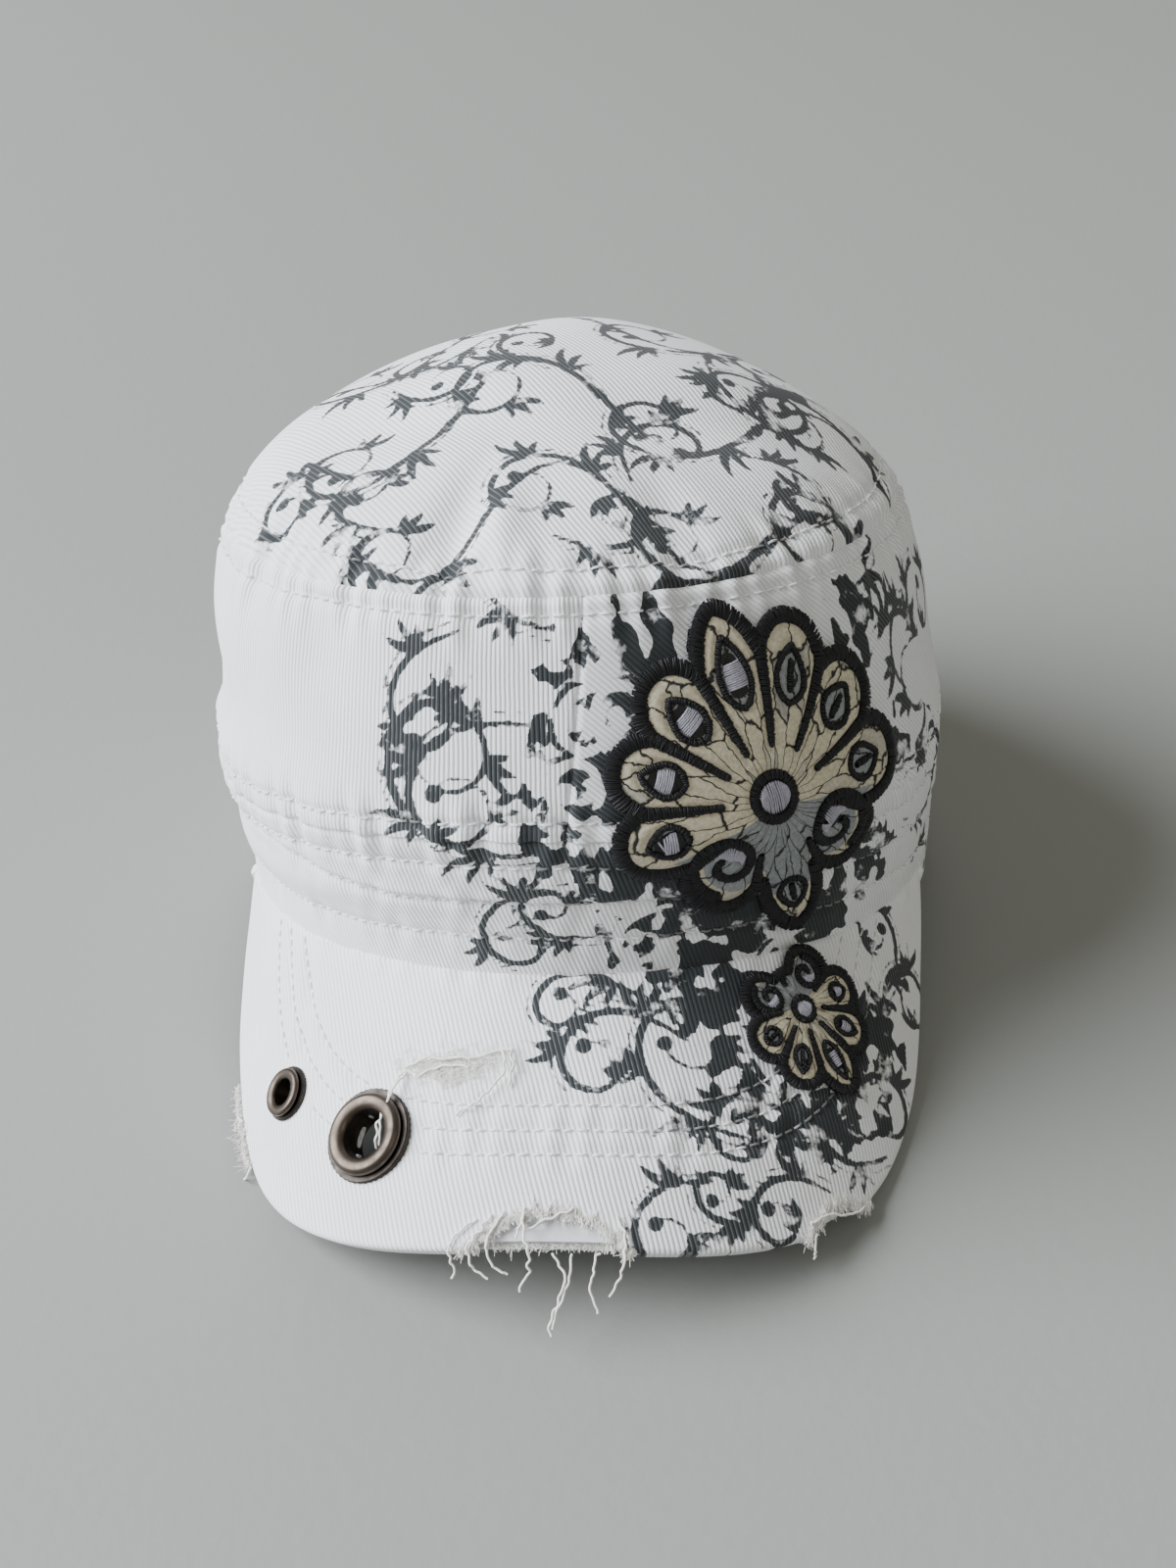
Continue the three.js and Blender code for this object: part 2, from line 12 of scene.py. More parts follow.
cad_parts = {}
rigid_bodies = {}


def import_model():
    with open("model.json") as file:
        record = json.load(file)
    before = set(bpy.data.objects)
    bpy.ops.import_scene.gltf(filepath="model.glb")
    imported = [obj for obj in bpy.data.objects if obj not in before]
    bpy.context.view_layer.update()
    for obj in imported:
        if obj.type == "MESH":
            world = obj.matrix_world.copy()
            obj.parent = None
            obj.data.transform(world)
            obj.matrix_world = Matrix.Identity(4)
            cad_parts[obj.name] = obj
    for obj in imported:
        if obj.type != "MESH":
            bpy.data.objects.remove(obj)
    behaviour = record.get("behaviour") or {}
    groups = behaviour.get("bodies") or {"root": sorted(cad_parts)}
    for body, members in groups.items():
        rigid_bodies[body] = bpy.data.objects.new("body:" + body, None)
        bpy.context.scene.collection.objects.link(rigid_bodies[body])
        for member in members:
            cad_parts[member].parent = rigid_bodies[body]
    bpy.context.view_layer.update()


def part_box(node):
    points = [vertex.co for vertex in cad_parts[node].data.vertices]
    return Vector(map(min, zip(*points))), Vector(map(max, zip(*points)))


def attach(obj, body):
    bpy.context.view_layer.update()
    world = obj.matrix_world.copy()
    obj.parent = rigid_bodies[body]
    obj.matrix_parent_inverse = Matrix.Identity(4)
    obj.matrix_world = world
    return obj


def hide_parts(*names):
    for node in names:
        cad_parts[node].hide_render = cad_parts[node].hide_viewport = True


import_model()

# Form of the crown
# Four panels of cotton twill, a domed oval top and three walls, are sewn to each other and to a double
# band. A turn is the angle round the head from the front. A height runs from 0 at the band's foot
# through 1 at the band seam and 2 at the top seam to 3 at the middle of the top.
opening_half_width = 87.0
opening_front = 96.5
opening_back = 96.0
band_height = 40.0
band_flare = 0.5
band_lift_angle = math.radians(120)
top_half_width = 78.5
top_half_length = 78.0
top_set_back = 2.5
top_slouch = 3.0
top_front_height = 127.5
top_back_height = 87.0
dome_rise = 38.0
dome_roundness = 0.8
dome_fuller_behind = 0.3
crease_ahead = 30.0
crease_bow = 17.0
crease_depth = 3.0
crease_width = 8.0
wall_bulge = 3.3
wall_roundness = 0.8
side_seam = math.radians(100)
front_seam_foot = math.radians(2.2)
front_seam_head = math.radians(8)
seam_gap = 0.3
girth = (opening_half_width + opening_front) / 2

# turn, height, spread of turn, spread of height, rise as a share of the wall's bulge
wall_folds = [
    (-72, 1.14, 30, 0.12, 0.75),
    (-95, 1.02, 24, 0.06, -0.35),
    (-34, 1.84, 3.6, 0.16, -0.34),
    (-41, 1.8, 5, 0.18, 0.22),
    (-60, 1.62, 8, 0.3, 0.3),
    (78, 1.2, 30, 0.2, 0.45),
    (118, 1.35, 10, 0.5, -0.35),
    (-124, 1.4, 10, 0.5, -0.35),
    (170, 1.3, 16, 0.3, 0.4),
]

# turn, share of the way out, spread of turn, spread of that share, rise as a share of the dome
top_folds = [
    (-14, 0.86, 3.6, 0.14, -0.12),
    (-6, 0.86, 3.4, 0.12, 0.09),
    (26, 0.86, 4, 0.12, -0.09),
    (-64, 0.85, 16, 0.2, 0.1),
    (180, 0.45, 60, 0.28, 0.12),
]


def bump(distance, spread):
    return np.exp(-0.5 * (distance / spread) ** 2)


def wrapped(angle):
    return np.arctan2(np.sin(angle), np.cos(angle))


def ease(value, low, high):
    share = np.clip((value - low) / (high - low), 0, 1)
    return share * share * (3 - 2 * share)


def mix(a, b, share):
    return a + (b - a) * share


def folds_at(folds, turn, place):
    """Rise of the folds that lie round a turn and a place up or out from there"""
    rise = 0
    for fold_turn, fold_place, turn_spread, place_spread, height in folds:
        sideways = bump(wrapped(turn - math.radians(fold_turn)), math.radians(turn_spread))
        rise = rise + height * sideways * bump(place - fold_place, place_spread)
    return rise


# The peak is a stiff sheet bent round a sloping cylinder. Its places are measured across and along its
# upper cloth from the middle of its seam, and a rise stands out from that cloth.
peak_radius = 94.0
peak_slope = math.radians(25.2)
peak_reach = 60.0
peak_root = 70.0
peak_half_arc = 101.5
peak_squareness = 3.05
peak_thickness = 3.8
peak_columns = 13


def peak_from(root_height, across, along, rise):
    angle = across / peak_radius
    radius = peak_radius + rise
    lift = radius * np.cos(angle) - peak_radius
    x = radius * np.sin(angle) + 0 * along
    y = -opening_front - along * math.cos(peak_slope) - lift * math.sin(peak_slope)
    z = root_height - along * math.sin(peak_slope) + lift * math.cos(peak_slope)
    return np.stack([x, y, z], -1)


def edge_along(across, inset):
    """How far along the peak a line lies that is inset from its edge"""
    share = np.minimum(np.abs(across) / (peak_half_arc - inset), 1)
    reach = (1 - share**peak_squareness) ** (1 / peak_squareness)
    return -peak_root + (peak_root + peak_reach - inset) * reach


resting = peak_half_arc * np.sin(np.arange(-peak_columns, peak_columns + 1) / peak_columns * np.pi / 2)
peak_root_height = -peak_from(0, resting, edge_along(resting, 0), -peak_thickness)[:, 2].min()
front_lift = peak_root_height - peak_thickness

# The frame says where the cap's middle lies
top_low, top_high = (np.array(corner) * 1000 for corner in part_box("crown_top"))
shift = np.array([
    (top_low[0] + top_high[0]) / 2 + top_slouch,
    (top_low[1] + top_high[1]) / 2 - top_set_back,
    0,
])


def oval(turn, grow, z):
    reach = np.where(np.cos(turn) > 0, opening_front, opening_back)
    return np.stack([(opening_half_width + grow) * np.sin(turn), -(reach + grow) * np.cos(turn), z], -1)


def top_place(turn, out):
    x = top_half_width * out * np.sin(turn) - top_slouch
    y = top_set_back - top_half_length * out * np.cos(turn)
    behind = -out * np.cos(turn)
    rise = dome_rise * (1 - out * out) ** dome_roundness * (1 + dome_fuller_behind * behind)
    rise = rise + dome_rise * folds_at(top_folds, turn, out) * out * (1 - out**8)
    crease_at = top_set_back - crease_ahead + crease_bow * (out * np.sin(turn)) ** 2
    crease = bump(y - crease_at, crease_width) * (1 - out**4)
    share = (y - top_set_back + top_half_length) / (2 * top_half_length)
    return np.stack([x, y, mix(top_front_height, top_back_height, share) + rise - crease_depth * crease], -1)


def fold_rise(turn, height):
    rise = wall_bulge * folds_at(wall_folds, turn, height)
    return rise * ease(height, 0.2, 0.6) * ease(2 - height, 0, 0.1)


def crown_form(turn, height):
    """Places on the crown's outer cloth before it is sewn and worn"""
    turn, height = np.broadcast_arrays(np.asarray(turn, float), np.asarray(height, float))
    away = np.abs(wrapped(turn))
    lift = front_lift * 0.5 * (1 + np.cos(np.pi * away / band_lift_angle))
    foot = np.where(away < band_lift_angle, lift, 0)
    fold = fold_rise(turn, height)
    band = oval(turn, band_flare * height + fold, foot + band_height * height)
    share = np.clip(height - 1, 0, 1)
    outward = np.stack([np.sin(turn), -np.cos(turn), 0 * turn], -1)
    swell = wall_bulge * np.sin(np.pi * share) ** wall_roundness + fold
    low = oval(turn, band_flare, foot + band_height)
    wall = mix(low, top_place(turn, 1.0), share[..., None]) + outward * swell[..., None]
    top = top_place(turn, np.clip(3 - height, 0, 1))
    level = height[..., None]
    return np.where(level > 2, top, np.where(level <= 1, band, wall)) + shift


def crown_facing(turn, height):
    """Directions straight out from the crown"""
    step = 0.004
    height = np.minimum(height, 3 - 2 * step)
    round_it = crown_form(turn + step, height) - crown_form(turn - step, height)
    up_it = crown_form(turn, height + step) - crown_form(turn, np.maximum(height - step, 0))
    facing = np.cross(round_it, up_it)
    return facing / np.linalg.norm(facing, axis=-1, keepdims=True)


def peak_form(across, along, rise=0.0):
    return peak_from(peak_root_height, np.asarray(across, float), np.asarray(along, float), rise) + shift


def peak_facing(across):
    angle = np.asarray(across, float) / peak_radius
    up = np.cos(angle)
    return np.stack([np.sin(angle), -up * math.sin(peak_slope), up * math.cos(peak_slope)], -1)


def seam_along(across, rise=0.0):
    """How far along the peak its seam to the band lies"""
    angle = across / peak_radius
    radius = peak_radius + rise
    side = radius * np.sin(angle) / (opening_half_width + seam_gap)
    y = -(opening_front + seam_gap) * np.sqrt(np.maximum(0, 1 - side * side))
    lift = radius * np.cos(angle) - peak_radius
    return (-opening_front - y - lift * math.sin(peak_slope)) / math.cos(peak_slope)


# Rows of topstitching
# White cotton thread, sewn through all layers about six stitches to 20 mm. The crown's rows run right
# round it, and the peak's three follow its edge.
# height of a row, how far it climbs towards the wearer's right, and the turns between which it does
crown_rows = [
    (2.055, 0.0, 0, 1),
    (1.935, 0.0, 0, 1),
    (1.09, 0.0, 0, 1),
    (0.845, 0.0, 0, 1),
    (0.59, 0.19, 22, 54),
    (0.33, 0.03, 30, 60),
]
peak_row_insets = [20.0, 25.2, 30.6]
thread_thickness = 0.56
stitch_pitch = 3.1
stitch_length = 2.5
stitch_rise = 0.16


def row_height(row, turn):
    height, climb, start, end = row
    return height + climb * ease(-np.degrees(wrapped(turn)), start, end) * ease(np.cos(turn), -0.2, 0.2)


# Print
# Charcoal ink, screened over the sewn cap before it was washed: scrolling vines with curled leaves, and
# torn dark patches round the sewn on ornament, with bare scrolls left open in them.
# x, y, heading, length, turn, width and leaves of each vine
wall_vines = [
    (4, 38, 186, 112, -470, 1.05, 5),
    (0, 66, 176, 84, 430, 0.95, 4),
    (6, 84, 168, 60, -420, 0.9, 2),
    (-16, 84, 196, 62, 430, 0.9, 3),
    (4, 28, 184, 64, 430, 0.9, 3),
    (10, 14, 186, 46, -400, 0.9, 2),
    (88, 44, 6, 92, 440, 0.95, 5),
    (84, 68, 30, 78, -430, 0.95, 4),
    (94, 30, -20, 74, 440, 0.85, 4),
    (110, 70, 50, 56, -400, 0.85, 3),
    (82, 82, 6, 60, 400, 0.85, 3),
    (104, 12, 10, 60, -430, 0.85, 3),
]
wall_bare = [
    (22, 72, 165, 44, 420, 1.3, 2),
    (20, 44, 190, 50, -430, 1.3, 3),
    (26, 22, 190, 40, 380, 1.2, 2),
    (14, 60, 110, 30, -330, 1.1, 1),
    (60, 8, 180, 30, 330, 1.1, 2),
]
# x, y and radius of each part of a dark patch
wall_patches = [
    (14, 62, 15), (24, 46, 17), (6, 50, 9), (32, 26, 15), (16, 34, 11), (26, 78, 9), (46, 14, 13),
    (64, 12, 10), (80, 24, 9), (84, 78, 6), (10, 76, 6), (0, 38, 5), (90, 50, 5), (18, 14, 7), (36, 6, 9),
]
# x, y, end x, end y, scrolls, swing and width of each running scroll
top_runs = [
    (78, 52, -38, 62, 4, 12, 0.9),
    (79, 16, -52, 30, 4, 15, 0.95),
    (76, -24, -56, -12, 4, 14, 0.9),
]
top_vines = [
    (-30, 60, 200, 44, 380, 0.9, 2),
    (-46, 34, 180, 40, -380, 0.9, 2),
    (20, 50, 250, 56, 400, 0.9, 3),
    (60, 66, 120, 34, 380, 0.85, 2),
    (34, -2, 80, 60, -400, 0.85, 3),
    (-14, -10, 120, 54, 400, 0.85, 3),
    (4, 66, 20, 46, -380, 0.8, 3),
    (40, 34, 340, 52, 420, 0.8, 3),
    (58, 6, 210, 56, -420, 0.8, 3),
    (2, 12, 200, 50, 400, 0.8, 3),
    (62, -8, 150, 50, 400, 0.8, 3),
    (-36, 8, 60, 44, -380, 0.8, 2),
]
peak_vines = [
    (22, 6, 196, 70, 430, 0.95, 3),
    (28, 14, 210, 66, -430, 0.95, 3),
    (44, 34, 186, 84, 430, 0.95, 4),
    (58, 36, 236, 60, -430, 0.9, 3),
    (66, 30, 280, 60, 430, 0.9, 3),
    (84, 8, 250, 66, 440, 0.85, 3),
    (80, -6, 310, 56, -420, 0.85, 3),
    (34, 44, 176, 50, -400, 0.85, 2),
    (12, 2, 200, 40, -380, 0.85, 2),
    (80, 30, 150, 52, 420, 0.9, 3),
    (62, 42, 196, 50, -430, 0.9, 3),
    (44, 50, 158, 34, 400, 0.8, 2),
]
peak_bare = [
    (62, 18, 160, 46, 420, 1.2, 3),
    (44, 16, 330, 34, -380, 1.1, 2),
    (72, 12, 60, 30, 380, 1.1, 1),
]
peak_patches = [
    (36, 4, 9), (50, 10, 13), (66, 8, 12), (44, 20, 9), (60, 24, 10), (78, 2, 8), (74, 20, 7), (26, -2, 6),
    (52, 30, 5),
]
no_ink = 9.0
brush_step = 0.4
curl_power = 1.9
bud_size = 1.9
outline_gap = 2.3
outline_half = 0.26
# share of a leaf's length and spread of each of its blades
blades = [(1.0, 10), (0.78, 36), (0.5, 70)]


def random_rows(seed, number, *ranges):
    """That many rows of random values, each in its own range"""
    draws = np.random.default_rng(seed)
    return [[draws.uniform(low, high) for low, high in ranges] for _ in range(number)]


def brush(x, y, heading, length, turn, power, width, leaf=False):
    """Places, half widths and headings along one stroke of a brush"""
    steps = max(8, int(length / brush_step))
    share = np.linspace(0, 1, steps)
    way = np.radians(heading + turn * share**power)
    along_x = x + np.cumsum(np.cos(way)) * length / steps
    along_y = y + np.cumsum(np.sin(way)) * length / steps
    if leaf:
        half = width * np.sin(np.pi * share**0.75) ** 0.8
    else:
        half = width * (0.4 + 0.6 * np.sin(np.pi * np.clip(1.1 * share, 0, 1)))
    return np.stack([along_x, along_y, half, way], 1)


def vine(x, y, heading, length, turn, width, leaves):
    """A stem that curls up round a bud, with a fan of three blades at each leaf"""
    stem = brush(x, y, heading, length, turn, curl_power, width)
    bud = [[stem[-1, 0], stem[-1, 1], bud_size * width, 0]]
    hand = math.copysign(1, turn)
    outer_line = stem[: int(0.62 * len(stem))].copy()
    outer_line[:, 0] += hand * outline_gap * width * np.sin(outer_line[:, 3])
    outer_line[:, 1] -= hand * outline_gap * width * np.cos(outer_line[:, 3])
    outer_line[:, 2] = outline_half
    strokes = [stem, outer_line, np.array(bud)]
    for leaf in range(leaves):
        share = 0.14 + 0.62 * leaf / max(1, leaves - 1)
        root_x, root_y, _, way = stem[int(share * len(stem))]
        outside = hand if leaf % 3 == 2 else -hand
        size = (7 + 0.085 * length) * (1 - 0.4 * share)
        for blade, spread in blades:
            towards = math.degrees(way) + outside * spread
            blade_width = 0.55 + 0.6 * blade * width
            strokes.append(brush(root_x, root_y, towards, size * blade, outside * 60, 1.4, blade_width, True))
    return np.concatenate(strokes)[:, :3]


def running_scroll(x, y, end_x, end_y, scrolls, swing, width):
    """A waved stem with a vine curled into the hollow of each wave"""
    ahead = np.array([end_x - x, end_y - y], float)
    length = np.hypot(*ahead)
    ahead /= length
    beside = np.array([-ahead[1], ahead[0]])
    share = np.linspace(0, 1, int(length / brush_step))
    wave = swing * np.sin(np.pi * scrolls * share)
    places = np.array([x, y]) + np.outer(share * length, ahead) + np.outer(wave, beside)
    half = width * (0.55 + 0.45 * np.abs(np.cos(np.pi * scrolls * share)))
    strokes = [np.column_stack([places, half])]
    base = math.degrees(math.atan2(ahead[1], ahead[0]))
    slope = math.degrees(math.atan(swing * np.pi * scrolls / length))
    hollow = length / scrolls
    for curl in range(scrolls):
        hand = 1 if curl % 2 else -1
        root = np.array([x, y]) + ahead * hollow * (curl + 0.04)
        strokes.append(vine(*root, base - hand * (slope + 8), 2.4 * hollow, hand * 450, 0.9 * width, 4))
    return np.concatenate(strokes)


def tree_of(places):
    """A tree that finds the nearest of some places in space"""
    tree = kdtree.KDTree(len(places))
    for index, place in enumerate(places):
        tree.insert(place, index)
    tree.balance()
    return tree


def distance_from(strokes, places):
    """How far each place lies outside the nearest stroke. Lifting thin strokes finds the right one."""
    half = strokes[:, 2]
    lifts = np.sqrt(np.maximum(0, half.max() ** 2 - half**2))
    tree = tree_of(np.column_stack([strokes[:, :2], lifts]))
    low = (strokes[:, :2] - strokes[:, 2:]).min(0) - 3
    high = (strokes[:, :2] + strokes[:, 2:]).max(0) + 3
    result = np.full(len(places), no_ink)
    for index in np.nonzero(((places > low) & (places < high)).all(1))[0]:
        x, y = places[index]
        near = strokes[tree.find((x, y, 0))[1]]
        result[index] = math.hypot(x - near[0], y - near[1]) - near[2]
    return result


# length, phase and direction of each wave along the patches' torn edges
torn_waves = random_rows(11, 22, (2.2, 11), (0, 6.3), (0, 6.3))


def print_depth(places, strokes, patches=(), bare=()):
    """Distance in millimetres from the edge of the ink, below 0 where the cloth is printed"""
    flat = places.reshape(-1, 2)
    depth = distance_from(np.concatenate(strokes), flat)
    if patches:
        torn = 0
        for length, phase, way in torn_waves:
            ahead = flat[:, 0] * math.cos(way) + flat[:, 1] * math.sin(way)
            torn = torn + 0.17 * length * np.sin(ahead * 6.283 / length + phase)
        patch = distance_from(np.array(patches, float), flat) + np.clip(torn, -4.5, 9)
        open_scroll = distance_from(np.concatenate([vine(*row) for row in bare]), flat)
        depth = np.minimum(depth, np.maximum(patch, -open_scroll))
    return depth.reshape(places.shape[:-1])


wall_strokes = [vine(*row) for row in wall_vines]
top_strokes = [vine(*row) for row in top_vines] + [running_scroll(*row) for row in top_runs]
peak_strokes = [vine(*row) for row in peak_vines]

# Twill panels
# Each panel's cloth puckers along its seams, is pressed flat under its stitching and rolls in at its
# edges, where it is turned under.
band_seam = 1.0
top_seam = 2.0
wall_thickness = 1.4
band_thickness = 2.4
roll_width = 1.2
roll_depth = 0.6
pucker_reach = 7.0
pucker_height = 0.6
stitch_width = 0.8
stitch_dip = 0.6
row_pucker_reach = 3.4
row_pucker_height = 0.4
band_fold_height = 0.9
band_swell = 0.8
lining_gap = 0.5
top_radius = (top_half_width + top_half_length) / 2
wall_slant = float(np.linalg.norm(crown_form(0.0, 2.0) - crown_form(0.0, 1.0)))
# turn, climb, spread of turn, spread of climb and rise of each fold that wear has pressed in
worn_folds = [
    (-82, 36, 26, 7, 3.0),
    (-80, 57, 26, 9, -2.6),
    (84, 57, 26, 12, -3.2),
    (-48, 84, 5, 9, -0.9),
    (-57, 82, 4, 8, 0.7),
    (-66, 78, 5, 12, -0.8),
    (-30, 22, 14, 3, 0.8),
    (-62, 22, 18, 3.5, 1.3),
    (-50, 12, 20, 3, -0.7),
    (50, 52, 4, 14, 0.6),
]
rng = np.random.default_rng(57)
pucker_waves = [(number, rng.uniform(0, 6.3), rng.uniform(0.5, 1)) for number in (20, 34, 49, 69, 94)]
drape_waves = [(rng.uniform(16, 75), rng.uniform(0, 6.3), rng.normal(size=3)) for _ in range(16)]


def climb_of(height):
    """How far up the cloth a height lies, in millimetres from the band's foot"""
    height = np.asarray(height, float)
    band = band_height * np.minimum(height, band_seam)
    wall = wall_slant * np.clip(height - 1, 0, 1)
    return band + wall + top_radius * np.maximum(height - 2, 0)


def pucker(turn):
    """Small waves of gathered cloth, the same after a whole turn"""
    return sum(size * np.sin(number * turn + phase) for number, phase, size in pucker_waves) / 2.2


def drape(form):
    """Soft unevenness of cloth that has been worn and washed"""
    rise = 0
    for length, phase, way in drape_waves:
        place = form @ (way / np.linalg.norm(way))
        rise = rise + 0.0036 * length * np.sin(place * 2 * np.pi / length + phase)
    return rise


def seam_roll(distance):
    share = np.clip(1 - distance / roll_width, 0, 1)
    return -roll_depth * (1 - np.sqrt(1 - share**2))


def lean_of(turn, height):
    away = np.abs(wrapped(turn)) / side_seam
    return mix(front_seam_foot, front_seam_head, height - 1) * np.maximum(0, 1 - away)


def crown_relief(turn, height, seams):
    """Rise of the finished cloth from the crown's form, given the heights that are seams"""
    climb = climb_of(height)
    rise = drape(crown_form(turn, height)) * np.clip(height, 0.3, 1)
    for at in seams:
        distance = np.abs(climb - climb_of(at))
        rise = rise + pucker_height * pucker(turn + 2 * at) * np.exp(-((distance / pucker_reach) ** 2))
        rise = rise + seam_roll(distance)
    for row in crown_rows:
        distance = climb - climb_of(row_height(row, turn))
        rise = rise - stitch_dip * bump(distance, stitch_width)
        rise = rise + row_pucker_height * pucker(turn + 3 * row[0]) * bump(distance, row_pucker_reach)
    fold = climb - climb_of(row_height(crown_rows[4], turn))
    rise = rise + band_fold_height * ease(fold, 0, 1.6) * (1 - ease(climb, band_height - 2, band_height + 2))
    rise = rise + band_swell * ease(climb, band_height - 1, band_height + 1) * bump(climb - band_height, 9)
    return rise + folds_at(worn_folds, turn, climb)


def finish_mesh(name, corners, faces):
    """A mesh of metres from millimetre corners, with its faces out"""
    mesh = bpy.data.meshes.new(name)
    mesh.vertices.add(len(corners))
    mesh.vertices.foreach_set("co", (np.asarray(corners) * 0.001).astype(np.float32).ravel())
    sizes = np.array([len(face) for face in faces])
    starts = np.concatenate([[0], np.cumsum(sizes)[:-1]])
    mesh.loops.add(int(sizes.sum()))
    mesh.loops.foreach_set("vertex_index", np.concatenate(faces).astype(np.int32))
    mesh.polygons.add(len(faces))
    mesh.polygons.foreach_set("loop_start", starts.astype(np.int32))
    mesh.update(calc_edges=True)
    return mesh


def clean_up(mesh, sharp=50):
    working = bmesh.new()
    working.from_mesh(mesh)
    bmesh.ops.remove_doubles(working, verts=working.verts, dist=2e-7)
    bmesh.ops.recalc_face_normals(working, faces=working.faces)
    working.to_mesh(mesh)
    working.free()
    mesh.shade_smooth()
    mesh.set_sharp_from_angle(angle=math.radians(sharp))
    return mesh


def lay_cloth(mesh, places):
    """Places on the flat cloth, in millimetres, for each corner of each face"""
    layer = mesh.uv_layers.new(name="cloth")
    layer.data.foreach_set("uv", (np.asarray(places) * 0.001).astype(np.float32).ravel())


def lay_values(mesh, label, values, kind="FLOAT"):
    """A number or a direction for each point"""
    layer = mesh.attributes.new(label, kind, "POINT")
    layer.data.foreach_set("value" if kind == "FLOAT" else "vector", np.asarray(values, np.float32).ravel())


def new_object(name, data):
    thing = bpy.data.objects.new(name, data)
    bpy.context.scene.collection.objects.link(thing)
    return thing


def add_piece(name, mesh, material, slot, *nodes):
    piece = new_object(name, mesh)
    if not mesh.materials:
        mesh.materials.append(material)
    if nodes:
        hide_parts(*nodes)
    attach(piece, "root")


def shell(name, outer, inner, cloth, step, wraps, ink):
    """A closed panel: a fine outer face, an inner face with one point in step, and rims between them"""
    columns, rows = outer.shape[:2]
    spans = columns if wraps else columns - 1
    inner = inner[::step, ::step]
    inner_columns, inner_rows = inner.shape[:2]
    faces = []
    uvs = []

    def corner(outside, i, j):
        if outside:
            return (i % columns) * rows + j
        return columns * rows + (i // step % inner_columns) * inner_rows + j // step

    def add(*corners):
        faces.append([corner(*place) for place in corners])
        uvs.extend(cloth[i, j] for _, i, j in corners)

    for i in range(spans):
        for j in range(rows - 1):
            add((1, i, j), (1, i + 1, j), (1, i + 1, j + 1), (1, i, j + 1))
    for i in range(0, spans, step):
        for j in range(0, rows - 1, step):
            add((0, i, j), (0, i, j + step), (0, i + step, j + step), (0, i + step, j))
        for j in (0, rows - 1):
            add(*[(1, i + k, j) for k in range(step + 1)], (0, i + step, j), (0, i, j))
    for i in () if wraps else (0, spans):
        for j in range(0, rows - 1, step):
            add(*[(1, i, j + k) for k in range(step + 1)], (0, i, j + step), (0, i, j))
    mesh = finish_mesh(name, np.concatenate([outer.reshape(-1, 3), inner.reshape(-1, 3)]), faces)
    lay_cloth(mesh, uvs)
    bare = np.full(inner_columns * inner_rows, no_ink)
    lay_values(mesh, "print", np.concatenate([ink[:columns].ravel(), bare]))
    return mesh


def end_roll(turns, wraps):
    """The dip of a wall panel at the upright seams at its two ends"""
    if wraps:
        return 0 * turns
    return seam_roll((turns - turns[0]) * girth) + seam_roll((turns[-1] - turns) * girth)


def crown_cloth(turn, height):
    """Places on the crown's flat cloth, and the distance from the edge of the ink there"""
    if np.min(height) >= top_seam:
        out = (3 - height) * top_radius
        cloth = np.stack([out * np.sin(turn), out * np.cos(turn)], -1)
        return cloth, print_depth(cloth, top_strokes)
    cloth = np.stack([turn * girth, climb_of(height)], -1)
    return cloth, print_depth(cloth, wall_strokes, wall_patches, wall_bare)


def crown_panel(name, turns, heights, thickness, seams, wraps, leans, step=3):
    """A panel of the crown between the first and the last of its turns and heights"""
    turn, height = np.meshgrid(turns, heights, indexing="ij")
    if leans:
        turn = turn + lean_of(turn, height)
    form = crown_form(turn, height)
    facing = crown_facing(turn, height)
    if heights[0] == 0:
        facing[:, 0, 2] = 0
    relief = crown_relief(turn, height, seams) + end_roll(turns, wraps)[:, None]
    outer = form + facing * relief[..., None]
    inner = form - facing * (thickness + lining_gap)
    if heights[-1] == 3:
        outer[:, -1] = outer[:, -1].mean(0)
        inner[:, -1] = inner[:, -1].mean(0)
    cloth, ink = crown_cloth(turn, height)
    if np.cos(turns).max() <= 0:
        ink = np.full(turn.shape, no_ink)
    if wraps:
        outer, inner = outer[:-1], inner[:-1]
    return clean_up(shell(name, outer, inner, cloth, step, wraps, ink))


def plug(tree, node, values):
    """Gives sockets of a node their values or links, by name or number"""
    for name, value in values.items():
        if isinstance(value, bpy.types.NodeSocket):
            tree.links.new(value, node.inputs[name])
        else:
            node.inputs[name].default_value = value


def wire(tree, kind, values=None, **settings):
    """A node with its settings, and what goes into its sockets"""
    node = tree.nodes.new(kind)
    for name, value in settings.items():
        setattr(node, name, value)
    plug(tree, node, values or {})
    return node


def maths(tree, operation, first, second=0.0, third=0.0):
    return wire(tree, "ShaderNodeMath", {0: first, 1: second, 2: third}, operation=operation).outputs[0]


def directed(tree, operation, first, second):
    return wire(tree, "ShaderNodeVectorMath", {0: first, 1: second}, operation=operation)


def dimmed(tree, colour, share):
    return wire(tree, "ShaderNodeVectorMath", {0: colour, "Scale": share}, operation="SCALE").outputs[0]


def blend(tree, share, first, second):
    """The first colour, or the second where the share is 1"""
    return wire(tree, "ShaderNodeMix", {"Factor": share, 6: first, 7: second}, data_type="RGBA").outputs[2]


def noise(tree, place, scale, detail, roughness=0.5):
    values = {"Vector": place, "Scale": scale, "Detail": detail, "Roughness": roughness}
    return wire(tree, "ShaderNodeTexNoise", values).outputs


def ramp(tree, value, low, high, to_low=0.0, to_high=1.0):
    """A value carried from one range to another, and kept inside it"""
    values = {"Value": value, "From Min": low, "From Max": high, "To Min": to_low, "To Max": to_high}
    return wire(tree, "ShaderNodeMapRange", values).outputs[0]


def laid_value(tree, label):
    """The value that was laid on the mesh's points"""
    return wire(tree, "ShaderNodeAttribute", attribute_name=label).outputs["Fac"]


